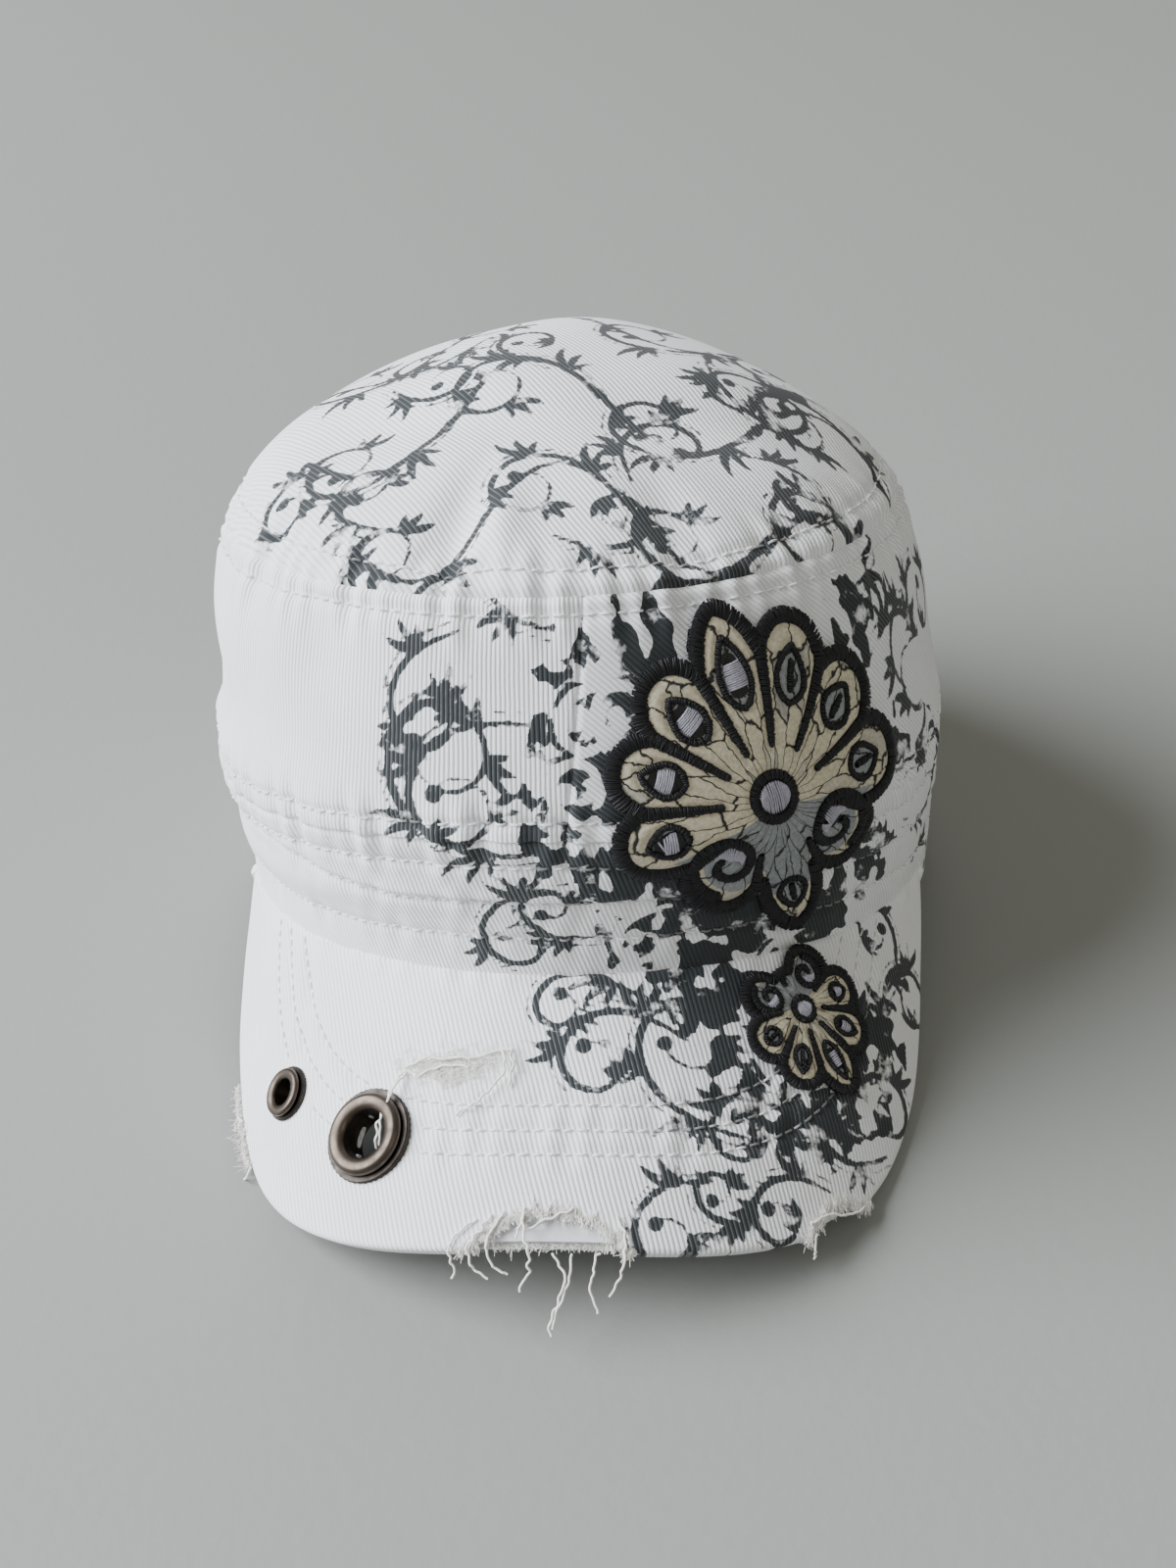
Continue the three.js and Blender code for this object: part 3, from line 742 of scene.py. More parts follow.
def raised(tree, height, strength, distance):
    values = {"Height": height, "Strength": strength, "Distance": distance}
    return wire(tree, "ShaderNodeBump", values).outputs[0]


def new_material(name):
    """A material, its nodes, its surface, and places on the object that has it"""
    material = bpy.data.materials.new(name)
    material.use_nodes = True
    tree = material.node_tree
    place = wire(tree, "ShaderNodeTexCoord").outputs["Object"]
    return material, tree, tree.nodes["Principled BSDF"], place


rib_pitch = 1.05
yarn_pitch = 0.62
white_cotton = (0.90, 0.91, 0.94)
ink_on_cloth = (0.024, 0.029, 0.033, 1)


def twill(name, rib_angle):
    """Cotton twill with its ribs at an angle to the cloth, painted shade in the grooves between its ribs, and
    charcoal print where the cloth has any
    """
    material, tree, surface, _ = new_material(name)
    cloth = wire(tree, "ShaderNodeUVMap", uv_map="cloth").outputs[0]
    cos, sin = math.cos(math.radians(rib_angle)), math.sin(math.radians(rib_angle))
    across = directed(tree, "DOT_PRODUCT", cloth, (cos, sin, 0)).outputs["Value"]
    along = directed(tree, "DOT_PRODUCT", cloth, (-sin, cos, 0)).outputs["Value"]
    wander = noise(tree, cloth, 90, 3)[0]
    rib_place = maths(tree, "MULTIPLY_ADD", across, 6283.2 / rib_pitch, maths(tree, "MULTIPLY", wander, 3.2))
    rib = maths(tree, "MULTIPLY_ADD", maths(tree, "COSINE", rib_place), 0.5, 0.5)
    ridge = maths(tree, "POWER", rib, 0.62)
    yarn_place = maths(tree, "MULTIPLY_ADD", along, 6283.2 / yarn_pitch, rib_place)
    yarn = maths(tree, "MULTIPLY_ADD", maths(tree, "COSINE", yarn_place), 0.5, 0.5)
    fuzz = noise(tree, cloth, 2600, 2)[0]
    height = maths(tree, "MULTIPLY_ADD", yarn, 0.16, maths(tree, "MULTIPLY_ADD", fuzz, 0.34, ridge))

    # Ink lies on the ribs, is worn through in places and has ragged edges
    depth = laid_value(tree, "print")
    ragged = noise(tree, cloth, 420, 4, 0.62)[0]
    blotchy = noise(tree, cloth, 95, 5, 0.6)[0]
    edge = maths(tree, "MULTIPLY_ADD", maths(tree, "SUBTRACT", ragged, 0.5), 1.3, depth)
    wet = ramp(tree, edge, 0.12, -0.12)
    worn = ramp(tree, blotchy, 0.36, 0.43)
    solid = ramp(tree, depth, -0.3, -1.3, 0.86, 0.975)
    groove = ramp(tree, ridge, 0.1, 0.5, solid)
    ink = maths(tree, "MULTIPLY", maths(tree, "MULTIPLY", wet, worn), groove)

    # The plain cloth is painted darker in the grooves between the ribs: painted shade in the grooves, on top
    # of their bump
    painted_groove_shade = ramp(tree, ridge, 0, 0.8, 0.8)
    tone = ramp(tree, noise(tree, cloth, 28, 4)[0], 0.3, 0.7, 0.94, 1.03)
    plain_cloth_with_groove_shade = dimmed(tree, white_cotton, maths(tree, "MULTIPLY", painted_groove_shade, tone))
    plug(tree, surface, {
        "Base Color": blend(tree, ink, plain_cloth_with_groove_shade, ink_on_cloth), "Normal": raised(tree, height, 0.55, 0.0003),
        "Roughness": 0.88, "Sheen Weight": 0.1, "Sheen Roughness": 0.6, "Specular IOR Level": 0.25,
    })
    return material


def count(length, size, step=3):
    """How many points are about size apart, for a whole number of inner steps"""
    return step * max(1, round(length / size / step)) + 1


fine = 0.85
back_length = 2 * (math.pi - side_seam) * girth
left_turns = np.linspace(-side_seam, 0, count(side_seam * girth, fine))
right_turns = np.linspace(0, side_seam, count(side_seam * girth, fine))
back_turns = np.linspace(side_seam, 2 * math.pi - side_seam, count(back_length, 1.6 * fine))
whole_turns = np.linspace(-math.pi, math.pi, count(2 * math.pi * girth, 1.15 * fine))
band_heights = np.linspace(0, 1, count(band_height, fine))
wall_heights = np.linspace(1, 2, count(56, fine))
top_heights = np.linspace(2, 3, count(top_radius, fine))
wall_seams = [band_seam, top_seam]
left_twill = twill("left_panel_twill", -4)
right_twill = twill("right_panel_twill", 48)
top_twill = twill("top_panel_twill", -36)
band_twill = twill("band_twill", 16)
# turns, heights, seams and twill of each panel, whether it closes and leans, and the solid it stands for
crown_panels = {
    "top_panel": (whole_turns, top_heights, [top_seam], top_twill, True, False, "crown_top"),
    "front_left_panel": (left_turns, wall_heights, wall_seams, left_twill, False, True, "crown_front_left"),
    "front_right_panel": (
        right_turns, wall_heights, wall_seams, right_twill, False, True, "crown_front_right"),
    "back_panel": (back_turns, wall_heights, wall_seams, left_twill, False, False, "crown_back"),
    "sewn_band": (whole_turns, band_heights, [band_seam], band_twill, True, False, "band"),
}
for name, (turns, heights, seams, cloth, wraps, leans, node) in crown_panels.items():
    thickness = band_thickness if heights is band_heights else wall_thickness
    mesh = crown_panel(name, turns, heights, thickness, seams, wraps, leans)
    add_piece(name, mesh, cloth, "twill", node)

# Peak
# Two layers of twill over a smooth white stiffener, bent to an arch and sewn into the band seam. The upper
# cloth turns down round the edge. It is torn away in three places, where the stiffener shows.
peak_cloth = 0.95
edge_roll = 1.2
edge_foot = -3.0
stiffener_rise = -1.3
stiffener_thickness = 1.2
stiffener_inset = 2.3
lower_cloth_rise = -2.85
lower_cloth_inset = 1.3
tears = [
    {"across": -1.0, "along": 58.0, "length": 36.0, "depth": 6.4, "turn": 0, "teeth": 9},
    {"across": 64.0, "along": 47.0, "length": 23.0, "depth": 3.0, "turn": -25, "teeth": 6},
    {"across": -90.0, "along": 26.0, "length": 27.0, "depth": 3.4, "turn": 62, "teeth": 6},
]
# across and along of each eyelet, its bore, rim and washer, and how far it stands up
eyelets = [(-41.4, 33.7, 5.2, 8.0, 10.4, 1.9), (-67.3, 19.7, 3.0, 4.9, 6.2, 1.3)]
# length, phase and height of each wave along the tears' ragged edges
tear_waves = random_rows(5, 9, (1.6, 6), (0, 6.3), (0.1, 0.32))
whole_cloth = -9.0
tear_margin = 3.5
hole_gap = 0.9
table_gap = 0.15


def peak_tip(inset, rise):
    """How far across the peak's edge meets its seam"""
    inside, outside = 0.0, peak_half_arc - inset
    for _ in range(40):
        middle = (inside + outside) / 2
        if edge_along(middle, inset) > seam_along(middle, rise):
            inside = middle
        else:
            outside = middle
    return inside


def spaced(places, number):
    """That many places, evenly apart along a path"""
    gaps = np.linalg.norm(np.diff(places, axis=0), axis=1)
    length = np.concatenate([[0], np.cumsum(gaps)])
    at = np.linspace(0, length[-1], number)
    return np.stack([np.interp(at, length, places[:, axis]) for axis in range(places.shape[1])], 1)


def peak_path(inset, number, rise=0.0, seam=False):
    """Places across and along, from the left end to the right end of the peak's seam or of its edge"""
    across = peak_tip(inset, rise) * np.sin(np.linspace(-1, 1, 2001) * np.pi / 2)
    along = seam_along(across, rise) if seam else edge_along(across, inset)
    return spaced(np.stack([across, along], 1), number)


def tear_axes(tear):
    """Directions along a tear and inwards from the peak's edge"""
    turn = math.radians(-tear["turn"])
    return np.array([math.cos(turn), -math.sin(turn)]), np.array([-math.sin(turn), -math.cos(turn)])


def tear_depth(tear, places):
    """How far each place lies inside the torn away cloth, below 0 where the cloth still is"""
    along_it, inward = tear_axes(tear)
    away = places - (tear["across"], tear["along"])
    sideways = away @ along_it
    share = sideways / tear["length"] + 0.5
    tooth = 1 - 0.14 * (0.5 - 0.5 * np.cos(np.pi * share * tear["teeth"] * 2))
    arch = np.sin(np.pi * np.clip(share, 0, 1) ** 1.12) ** 0.75
    deep = (tear["depth"] + tear_margin) * arch * tooth - tear_margin
    ragged = sum(size * np.sin(2 * np.pi * sideways / length + phase) for length, phase, size in tear_waves)
    return np.where((share > 0) & (share < 1), deep + ragged - away @ inward, whole_cloth)


def cut_to(places, distance, towards, cell):
    """Places within reach of a cut, moved on to it, so that the cut edge is clean"""
    near = np.abs(distance) < 0.6 * cell
    return places + np.where(near[..., None], towards * distance[..., None], 0)


def clear_of_washers(places, reach):
    """A share that is 0 under each eyelet's washer and 1 beyond its reach"""
    share = 1
    for across, along, _, _, washer, _ in eyelets:
        far = np.linalg.norm(places - (across, along), axis=-1)
        share = share * ease(far, washer - 0.5, washer + reach)
    return share


def stiff_drape(places):
    """Unevenness of the stiffened peak, the same in all its layers"""
    return 0.35 * drape(peak_form(places[..., 0], places[..., 1])) * clear_of_washers(places, 8)


def peak_relief(places):
    """Rise of the finished upper cloth, pressed flat under stitches and washers"""
    seam = np.abs(places[..., 1] - seam_along(places[..., 0]))
    around = places[..., 0] / girth
    rise = stiff_drape(places) + seam_roll(seam) + 0.4 * pucker(around) * np.exp(-((seam / 4) ** 2))
    for index, inset in enumerate(peak_row_insets):
        row = tree_of(np.insert(peak_path(inset, 900), 2, 0, axis=1))
        nearest = np.array([row.find((*place, 0))[2] for place in places.reshape(-1, 2)]).reshape(seam.shape)
        rise = rise - 0.5 * bump(nearest, stitch_width)
        rise = rise + 0.26 * pucker(around + index) * bump(nearest, 3)
    return rise * clear_of_washers(places, 4)


def peak_sheet(name, inset, rise, thickness, cell, lip=None, torn=False):
    """One layer of the peak, with its upper face at the rise, and its holes cut out"""
    number = count(330, cell)
    rows = count(62, cell)
    seam = peak_path(inset, number, rise, True)
    edge = peak_path(inset + (edge_roll if lip else 0), number, rise)
    share = np.linspace(0, 1, rows)[None, :, None]
    places = mix(seam[:, None], edge[:, None], share)
    rises = np.full(places.shape[:2], float(rise))
    if lip:
        bends = np.radians([15, 30, 45, 60, 75, 90])
        extra = [peak_path(inset + edge_roll * (1 - math.sin(bend)), number, rise) for bend in bends]
        drops = [rise - edge_roll * (1 - math.cos(bend)) for bend in bends]
        for drop in np.linspace(rise - edge_roll, lip, 4)[1:]:
            extra.append(peak_path(inset, number, rise))
            drops.append(drop)
        places = np.concatenate([places, np.stack(extra, 1)], 1)
        rises = np.concatenate([rises, np.broadcast_to(drops, (number, len(drops)))], 1)
    gone = np.zeros(places.shape[:2], bool)
    for across, along, bore, *_ in eyelets:
        away = places - (across, along)
        far = np.linalg.norm(away, axis=-1)
        places = cut_to(places, bore + hole_gap - far, away / far[..., None], cell)
        gone |= far < bore + hole_gap
    for tear in tears if torn else []:
        places = cut_to(places, tear_depth(tear, places), tear_axes(tear)[1], cell)
        gone |= tear_depth(tear, places) > 0.05
    ink = np.full(places.shape[:2], no_ink)
    if not torn:
        rises = rises + stiff_drape(places)
    else:
        fading = np.clip(1 + rises, 0, 1)
        rises = rises + mix(stiff_drape(places), peak_relief(places), fading)
        ink = print_depth(places, peak_strokes, peak_patches, peak_bare)
    points = peak_form(places[..., 0], places[..., 1], rises)
    points[..., 2] = np.maximum(points[..., 2], table_gap)
    return sheet(name, points, places, gone, thickness, ink)


def sheet(name, points, cloth, gone, thickness, ink):
    """Cloth with its upper face through a grid of points, less the squares whose middle is gone"""
    columns, rows = points.shape[:2]
    at = np.arange(columns * rows).reshape(columns, rows)
    squares = np.stack([at[:-1, :-1], at[:-1, 1:], at[1:, 1:], at[1:, :-1]], -1).reshape(-1, 4)
    kept = squares[gone.ravel()[squares].sum(1) < 3]
    mesh = finish_mesh(name, points.reshape(-1, 3), kept)
    lay_cloth(mesh, cloth.reshape(-1, 2)[kept.ravel()])
    lay_values(mesh, "print", ink)
    working = bmesh.new()
    working.from_mesh(mesh)
    bmesh.ops.remove_doubles(working, verts=working.verts, dist=2e-6)
    stray = [corner for corner in working.verts if not corner.link_faces]
    bmesh.ops.delete(working, geom=stray, context="VERTS")
    working.to_mesh(mesh)
    working.free()
    helper = new_object(name, mesh)
    wall = helper.modifiers.new("wall", "SOLIDIFY")
    wall.thickness = thickness * 0.001
    wall.offset = -1
    return clean_up(made_from(helper))


def made_from(helper):
    """The mesh that an object shows. The object, its modifiers and its own data go."""
    name, data = helper.name, helper.data
    shown = helper.evaluated_get(bpy.context.evaluated_depsgraph_get())
    mesh = bpy.data.meshes.new_from_object(shown)
    helper.modifiers.clear()
    bpy.data.objects.remove(helper)
    bpy.data.batch_remove([data])
    mesh.name = name
    return mesh


board, tree, surface, place = new_material("stiffener_board")
dirt = noise(tree, place, 240, 5)[0]
board_colour = dimmed(tree, (0.74, 0.75, 0.80), ramp(tree, dirt, 0.35, 0.7, 1.0, 0.82))
plug(tree, surface, {"Base Color": board_colour, "Roughness": 0.55})
peak_twill = twill("peak_twill", -16)
upper_mesh = peak_sheet("peak_upper_cloth", 0, 0, peak_cloth, fine, edge_foot, True)
board_mesh = peak_sheet("peak_stiffener", stiffener_inset, stiffener_rise, stiffener_thickness, 2 * fine)
lower_mesh = peak_sheet("peak_lower_cloth", lower_cloth_inset, lower_cloth_rise, peak_cloth, 2 * fine)
add_piece("peak_upper_cloth", upper_mesh, peak_twill, "twill", "peak_top")
add_piece("peak_stiffener", board_mesh, board, "board", "peak_board")
add_piece("peak_lower_cloth", lower_mesh, peak_twill, "twill", "peak_under")

# Topstitching
# Each stitch is a short length of white cotton thread that comes up out of the cloth and goes down again.
# Ink lies on the stitches as it does on the cloth.


def thread_tree():
    """Nodes that lay a short bent thread at each point, along its run and standing up along its facing"""
    tree = bpy.data.node_groups.new("thread", "GeometryNodeTree")
    sockets = {"Points": "Geometry", "Thickness": "Float", "Bow": "Float", "Sink": "Float", "Swing": "Float",
               "Steps": "Int", "Sides": "Int", "Seed": "Int", "Material": "Material"}
    for label, kind in sockets.items():
        tree.interface.new_socket(label, in_out="INPUT", socket_type="NodeSocket" + kind)
    tree.interface.new_socket("Threads", in_out="OUTPUT", socket_type="NodeSocketGeometry")
    given = tree.nodes.new("NodeGroupInput").outputs

    def add(kind, values, **settings):
        return wire(tree, kind, values, **settings).outputs[0]

    facing, run, span = (
        add("GeometryNodeInputNamedAttribute", {"Name": label}, data_type=kind)
        for label, kind in (("facing", "FLOAT_VECTOR"), ("run", "FLOAT_VECTOR"), ("span", "FLOAT"))
    )
    below = maths(tree, "MULTIPLY", given["Sink"], -1.0)
    start, end = (add("ShaderNodeCombineXYZ", {"X": x, "Z": below}) for x in (-0.5, 0.5))
    middle = add("ShaderNodeCombineXYZ", {"Z": given["Bow"]})
    path = add("GeometryNodeCurveQuadraticBezier",
               {"Start": start, "Middle": middle, "End": end, "Resolution": given["Steps"]})
    radius = maths(tree, "MULTIPLY", given["Thickness"], 0.5)
    section = add("GeometryNodeCurvePrimitiveCircle", {"Resolution": given["Sides"], "Radius": radius})
    thread = add("GeometryNodeCurveToMesh", {"Curve": path, "Profile Curve": section, "Fill Caps": True})
    turned = add("FunctionNodeAxesToRotation", {"Primary Axis": facing, "Secondary Axis": run},
                 primary_axis="Z", secondary_axis="X")
    least = maths(tree, "MULTIPLY", given["Swing"], -1.0)
    swing = wire(tree, "FunctionNodeRandomValue", {2: least, 3: given["Swing"], "Seed": given["Seed"]},
                 data_type="FLOAT").outputs[1]
    swung = add("FunctionNodeAxisAngleToRotation", {"Axis": (0, 0, 1), "Angle": swing})
    rotation = add("FunctionNodeRotateRotation", {0: turned, 1: swung}, rotation_space="LOCAL")
    scale = add("ShaderNodeCombineXYZ", {"X": span, "Y": 1.0, "Z": 1.0})
    placed = add("GeometryNodeInstanceOnPoints",
                 {"Points": given["Points"], "Instance": thread, "Rotation": rotation, "Scale": scale})
    real = add("GeometryNodeRealizeInstances", {"Geometry": placed})
    smooth = add("GeometryNodeSetShadeSmooth", {"Geometry": real})
    dyed = add("GeometryNodeSetMaterial", {"Geometry": smooth, "Material": given["Material"]})
    wire(tree, "NodeGroupOutput", {0: dyed})
    return tree


def lay_threads(name, places, runs, facings, spans, inks, **settings):
    """A mesh of one thread at each place. Lengths are in millimetres."""
    points = bpy.data.meshes.new(name)
    points.from_pydata((np.asarray(places) * 0.001).tolist(), [], [])
    lay_values(points, "run", runs, "FLOAT_VECTOR")
    lay_values(points, "facing", facings, "FLOAT_VECTOR")
    lay_values(points, "span", np.asarray(spans) * 0.001)
    lay_values(points, "print", inks)
    holder = new_object(name, points)
    sewing = holder.modifiers.new("sewing", "NODES")
    sewing.node_group = thread_nodes
    for item in thread_nodes.interface.items_tree:
        if item.name in settings:
            sewing[item.identifier] = settings[item.name]
    mesh = made_from(holder)
    for label in ("run", "facing", "span"):
        if label in mesh.attributes:
            mesh.attributes.remove(mesh.attributes[label])
    return mesh


ink_on_thread = (0.05, 0.056, 0.062, 1)


def thread_material(name, colour, roughness=0.75, sheen=0.3, ink=True):
    material, tree, surface, place = new_material(name)
    strand = noise(tree, place, 1500, 2)[0]
    dyed = dimmed(tree, colour, ramp(tree, strand, 0.3, 0.7, 0.8, 1.1))
    if ink:
        ragged = maths(tree, "SUBTRACT", noise(tree, place, 500, 3)[0], 0.5)
        edge = maths(tree, "MULTIPLY_ADD", ragged, 2.2, laid_value(tree, "print"))
        dyed = blend(tree, ramp(tree, edge, 0.1, -0.4, 0, 0.85), dyed, ink_on_thread)
    plug(tree, surface, {
        "Base Color": dyed, "Normal": raised(tree, strand, 0.5, 0.0001), "Roughness": roughness,
        "Sheen Weight": sheen, "Specular IOR Level": 0.3,
    })
    return material


def crown_row(row):
    """Places, runs, facings and ink of the stitches of one row round the crown"""
    turns = np.linspace(-math.pi, math.pi, 2001)
    gaps = np.linalg.norm(np.diff(crown_form(turns, row_height(row, turns)), axis=0), axis=1)
    length = np.concatenate([[0], np.cumsum(gaps)])
    number = round(length[-1] / stitch_pitch)
    turn = np.interp((np.arange(number) + 0.5) * length[-1] / number, length, turns)
    height = row_height(row, turn)
    seams = [top_seam] if height[0] > top_seam else wall_seams if height[0] > band_seam else [band_seam]
    facing = crown_facing(turn, height)
    rise = crown_relief(turn, height, seams) + stitch_rise
    base = crown_form(turn, height)
    ahead = crown_form(turn + 0.01, row_height(row, turn + 0.01)) - base
    return base + facing * rise[:, None], ahead, facing, crown_cloth(turn, height)[1]


def peak_row(inset):
    """Places, runs, facings and ink of the stitches of one row on the peak, where its cloth is whole"""
    length = np.linalg.norm(np.diff(peak_path(inset, 2001), axis=0), axis=1).sum()
    flat = peak_path(inset, round(length / stitch_pitch) + 1)
    whole = np.ones(len(flat), bool)
    for across, along, _, _, washer, _ in eyelets:
        whole &= np.linalg.norm(flat - (across, along), axis=1) > washer + 1
    for tear in tears:
        whole &= tear_depth(tear, flat) < -1
    ahead = np.gradient(peak_form(flat[:, 0], flat[:, 1]), axis=0)
    places = peak_form(flat[:, 0], flat[:, 1], peak_relief(flat) + stitch_rise)
    ink = print_depth(flat, peak_strokes, peak_patches, peak_bare)
    return places[whole], ahead[whole], peak_facing(flat[:, 0])[whole], ink[whole]


thread_nodes = thread_tree()
white_thread = thread_material("white_cotton_thread", (0.86, 0.86, 0.88))


def sew_rows(name, rows):
    places, runs, facings, inks = (np.concatenate(values) for values in zip(*rows))
    mesh = lay_threads(
        name, places, runs, facings, np.full(len(places), stitch_length), inks,
        Thickness=thread_thickness * 0.001, Bow=0.00085, Sink=0.0004, Swing=0.09, Steps=5, Sides=5, Seed=3,
        Material=white_thread)
    add_piece(name, mesh, white_thread, "twill")


sew_rows("crown_topstitching", [crown_row(row) for row in crown_rows])
sew_rows("peak_topstitching", [peak_row(inset) for inset in peak_row_insets])

# Eyelets
# Rolled brass tubes with an antique finish, pressed through the peak over flat washers. The washers'
# edges have fine teeth, and a flange below the peak holds each tube.
eyelet_metal = 0.5
washer_metal = 0.6
washer_rise = 0.3
rim_tuck = 0.4
rim_spread = 0.45
rim_crest = 0.6
tooth_depth = 0.22
eyelet_steps = 96
roll_steps = 21
washer_foot = -0.4
washer_chamfer = 0.3


def metal_material(name, colour, roughness):
    material, tree, surface, place = new_material(name)
    wear = noise(tree, place, 420, 5)[0]
    plug(tree, surface, {
        "Base Color": dimmed(tree, colour, ramp(tree, wear, 0.3, 0.7, 0.72, 1.15)), "Metallic": 0.95,
        "Roughness": ramp(tree, wear, 0.3, 0.7, roughness + 0.12, roughness - 0.05),
    })
    return material


def lathed(name, profile, place, wave=None):
    """A ring turned about the peak's facing at a place, from a closed profile of radius and rise"""
    across, along = place
    origin = peak_form(across, along)
    up = peak_facing(across)
    ahead = peak_form(across + 0.1, along) - origin
    ahead /= np.linalg.norm(ahead)
    aside = np.cross(up, ahead)
    angles = np.arange(eyelet_steps) / eyelet_steps * 2 * np.pi
    profile = np.asarray(profile, float)
    radius = np.broadcast_to(profile[:, 0], (eyelet_steps, len(profile))).copy()
    if wave is not None:
        radius[:, wave] -= (tooth_depth * (np.arange(eyelet_steps) % 2))[:, None]
    reach = np.cos(angles)[:, None, None] * ahead + np.sin(angles)[:, None, None] * aside
    points = origin + radius[..., None] * reach + profile[None, :, 1, None] * up
    at = np.arange(points[..., 0].size).reshape(points.shape[:2])
    after, beyond = np.roll(at, -1, 0), np.roll(at, -1, 1)
    faces = np.stack([at, after, np.roll(after, -1, 1), beyond], -1).reshape(-1, 4)
    return clean_up(finish_mesh(name, points.reshape(-1, 3), faces), 35)


def add_eyelet(name, across, along, bore, rim, washer, rise):
    outer_bore = bore + eyelet_metal
    top = washer_rise + washer_metal
    seat = top + washer_rise
    tuck = seat + rim_tuck
    roll = mix(rim, washer, rim_spread)
    crest = mix(bore, roll, rim_crest)
    flange = -peak_thickness - washer_rise - rim**2 / (2 * peak_radius)
    tube = [(outer_bore, seat), (roll - rim_tuck, seat)]
    for angle in np.linspace(0, np.pi, roll_steps):
        half = roll - crest if angle < np.pi / 2 else crest - bore
        tube.append((crest + half * math.cos(angle), tuck + (rise - rim_tuck) * math.sin(angle)))
    tube += [(bore, flange - eyelet_metal), (rim, flange - eyelet_metal), (rim, flange), (outer_bore, flange)]
    tube = lathed(name + "_rim", tube, (across, along))
    add_piece(name + "_rim", tube, rim_metal, "eyelet_metal", name)
    inside = outer_bore + washer_chamfer
    ring = [(inside, washer_foot), (washer, washer_foot), (washer, top - 0.25),
            (washer - washer_chamfer, top), (roll - 0.1, top - 0.06), (inside, top - 0.06)]
    ring = lathed(name + "_washer_ring", ring, (across, along), [1, 2])
    add_piece(name + "_washer_ring", ring, washer_brass, "eyelet_metal", name + "_washer")


rim_metal = metal_material("antique_brass", (0.082, 0.066, 0.054), 0.36)
washer_brass = metal_material("dark_brass", (0.045, 0.038, 0.033), 0.42)
add_eyelet("eyelet_large", *eyelets[0])
add_eyelet("eyelet_small", *eyelets[1])

# Sewn on ornament
# A fan of petals over two scrolls, and a small one like it on the peak. Cream and grey coated cloth is
# sewn down under wide bands of black satin stitch, with some fillings of silver satin stitch. The coating
# has crackled.
patch_top = 1.75
band_rise = 0.35
patch_foot = -0.7
patch_puff = 0.5
satin_pitch = 0.38
satin_thickness = 0.5
patch_bridge = 1.2
# share of the edge band's half width that a crease has at its root, middle and tip
crease_widths = np.array([0.35, 0.6, 0.9])
bridge_spread = 0.12
crown_patch_turn = math.radians(31)
crown_patch_climb = 46.0
peak_patch_across = 54.0
peak_patch_along = 2.0


def both_sides(rows):
    """Each row, and its mirror image where it lies to one side"""
    for direction, *others in rows:
        yield (direction, *others)
        if direction % 180:
            yield (-direction, *others)


crown_ornament = {
    "size": 42.0, "core": 0.52, "tilt": math.radians(-12), "edge_band": 1.5, "root": 0.3, "vein": 0.5,
    # direction, reach, half width and roundness of each lobe
    "lobes": [(0, 1.0, 27, 1.5), (30, 0.93, 25, 2.4), (60, 0.9, 25, 2.4), (91, 0.88, 26, 2.4),
              (132, 0.72, 34, 2.4), (180, 0.86, 27, 1.5)],
    "creases": [15, -15, 45, -45, 76, -76, 112, -112, 156, -156],
    "petals": [0, 30, -30, 60, -60, 91, -91, 180],
    # direction and distance of a scroll's middle, its radius, where it starts and how it turns
    "scrolls": [(128, 0.42, 0.2, 150, -470), (-128, 0.42, 0.2, -150, 470)],
}
peak_ornament = {
    "size": 22.0, "core": 0.42, "tilt": math.radians(140), "edge_band": 1.0, "root": 0.26, "vein": 0.42,
    "lobes": [(0, 1.0, 34, 1.5), (40, 0.86, 32, 2.4), (80, 0.78, 34, 2.4), (130, 0.66, 40, 2.4)],
    "creases": [20, -20, 60, -60, 105, -105, 180],
    "petals": [0, 40, -40, 80, -80],
    "scrolls": [(132, 0.36, 0.17, 150, -420), (-132, 0.36, 0.17, -150, 420)],
}


def lobe_reach(style, direction):
    """How far an ornament's edge lies from its middle in each direction, in radians"""
    reach = np.full(np.shape(direction), style["core"])
    for turn, far, half, roundness in both_sides(style["lobes"]):
        away = np.minimum(np.abs(wrapped(direction - math.radians(turn))) / math.radians(half), 1)
        reach = np.maximum(reach, far * np.sqrt(1 - away**roundness))
    return reach * style["size"]


def crown_patch_form(side, up):
    """Form and facing of the crown under a place sideways and up from the ornament's middle"""
    turn = crown_patch_turn + side / girth
    climb = crown_patch_climb + up
    height = np.where(climb < band_height, climb / band_height, 1 + (climb - band_height) / wall_slant)
    facing = crown_facing(turn, np.minimum(height, 1.9))
    bridge = patch_bridge * bump(height - band_seam, bridge_spread)
    return crown_form(turn, height) + facing * bridge[..., None], facing


def peak_patch_form(side, up):
    across = peak_patch_across + side
    return peak_form(across, peak_patch_along - up), peak_facing(across)


def patch_points(style, form, flat, rise):
    """Places in space of flat places on an ornament, with its tilt, and its facing there"""
    cos, sin = math.cos(style["tilt"]), math.sin(style["tilt"])
    side = flat[..., 0] * cos + flat[..., 1] * sin
    up = flat[..., 1] * cos - flat[..., 0] * sin
    base, facing = form(side, up)
    return base + facing * np.broadcast_to(rise, side.shape)[..., None], facing


def polar(direction, far):
    return np.stack([far * np.sin(direction), far * np.cos(direction)], -1)


def band_between(start, end, *halves):
    """A band of stitching between two flat places, with its half widths at its ends and middle"""
    length = np.linalg.norm(end - start)
    share = np.linspace(0, 1, max(6, int(length / 0.25)))
    path = start + np.outer(share, end - start)
    return np.column_stack([path, np.interp(share, [0, 0.5, 1], halves)])


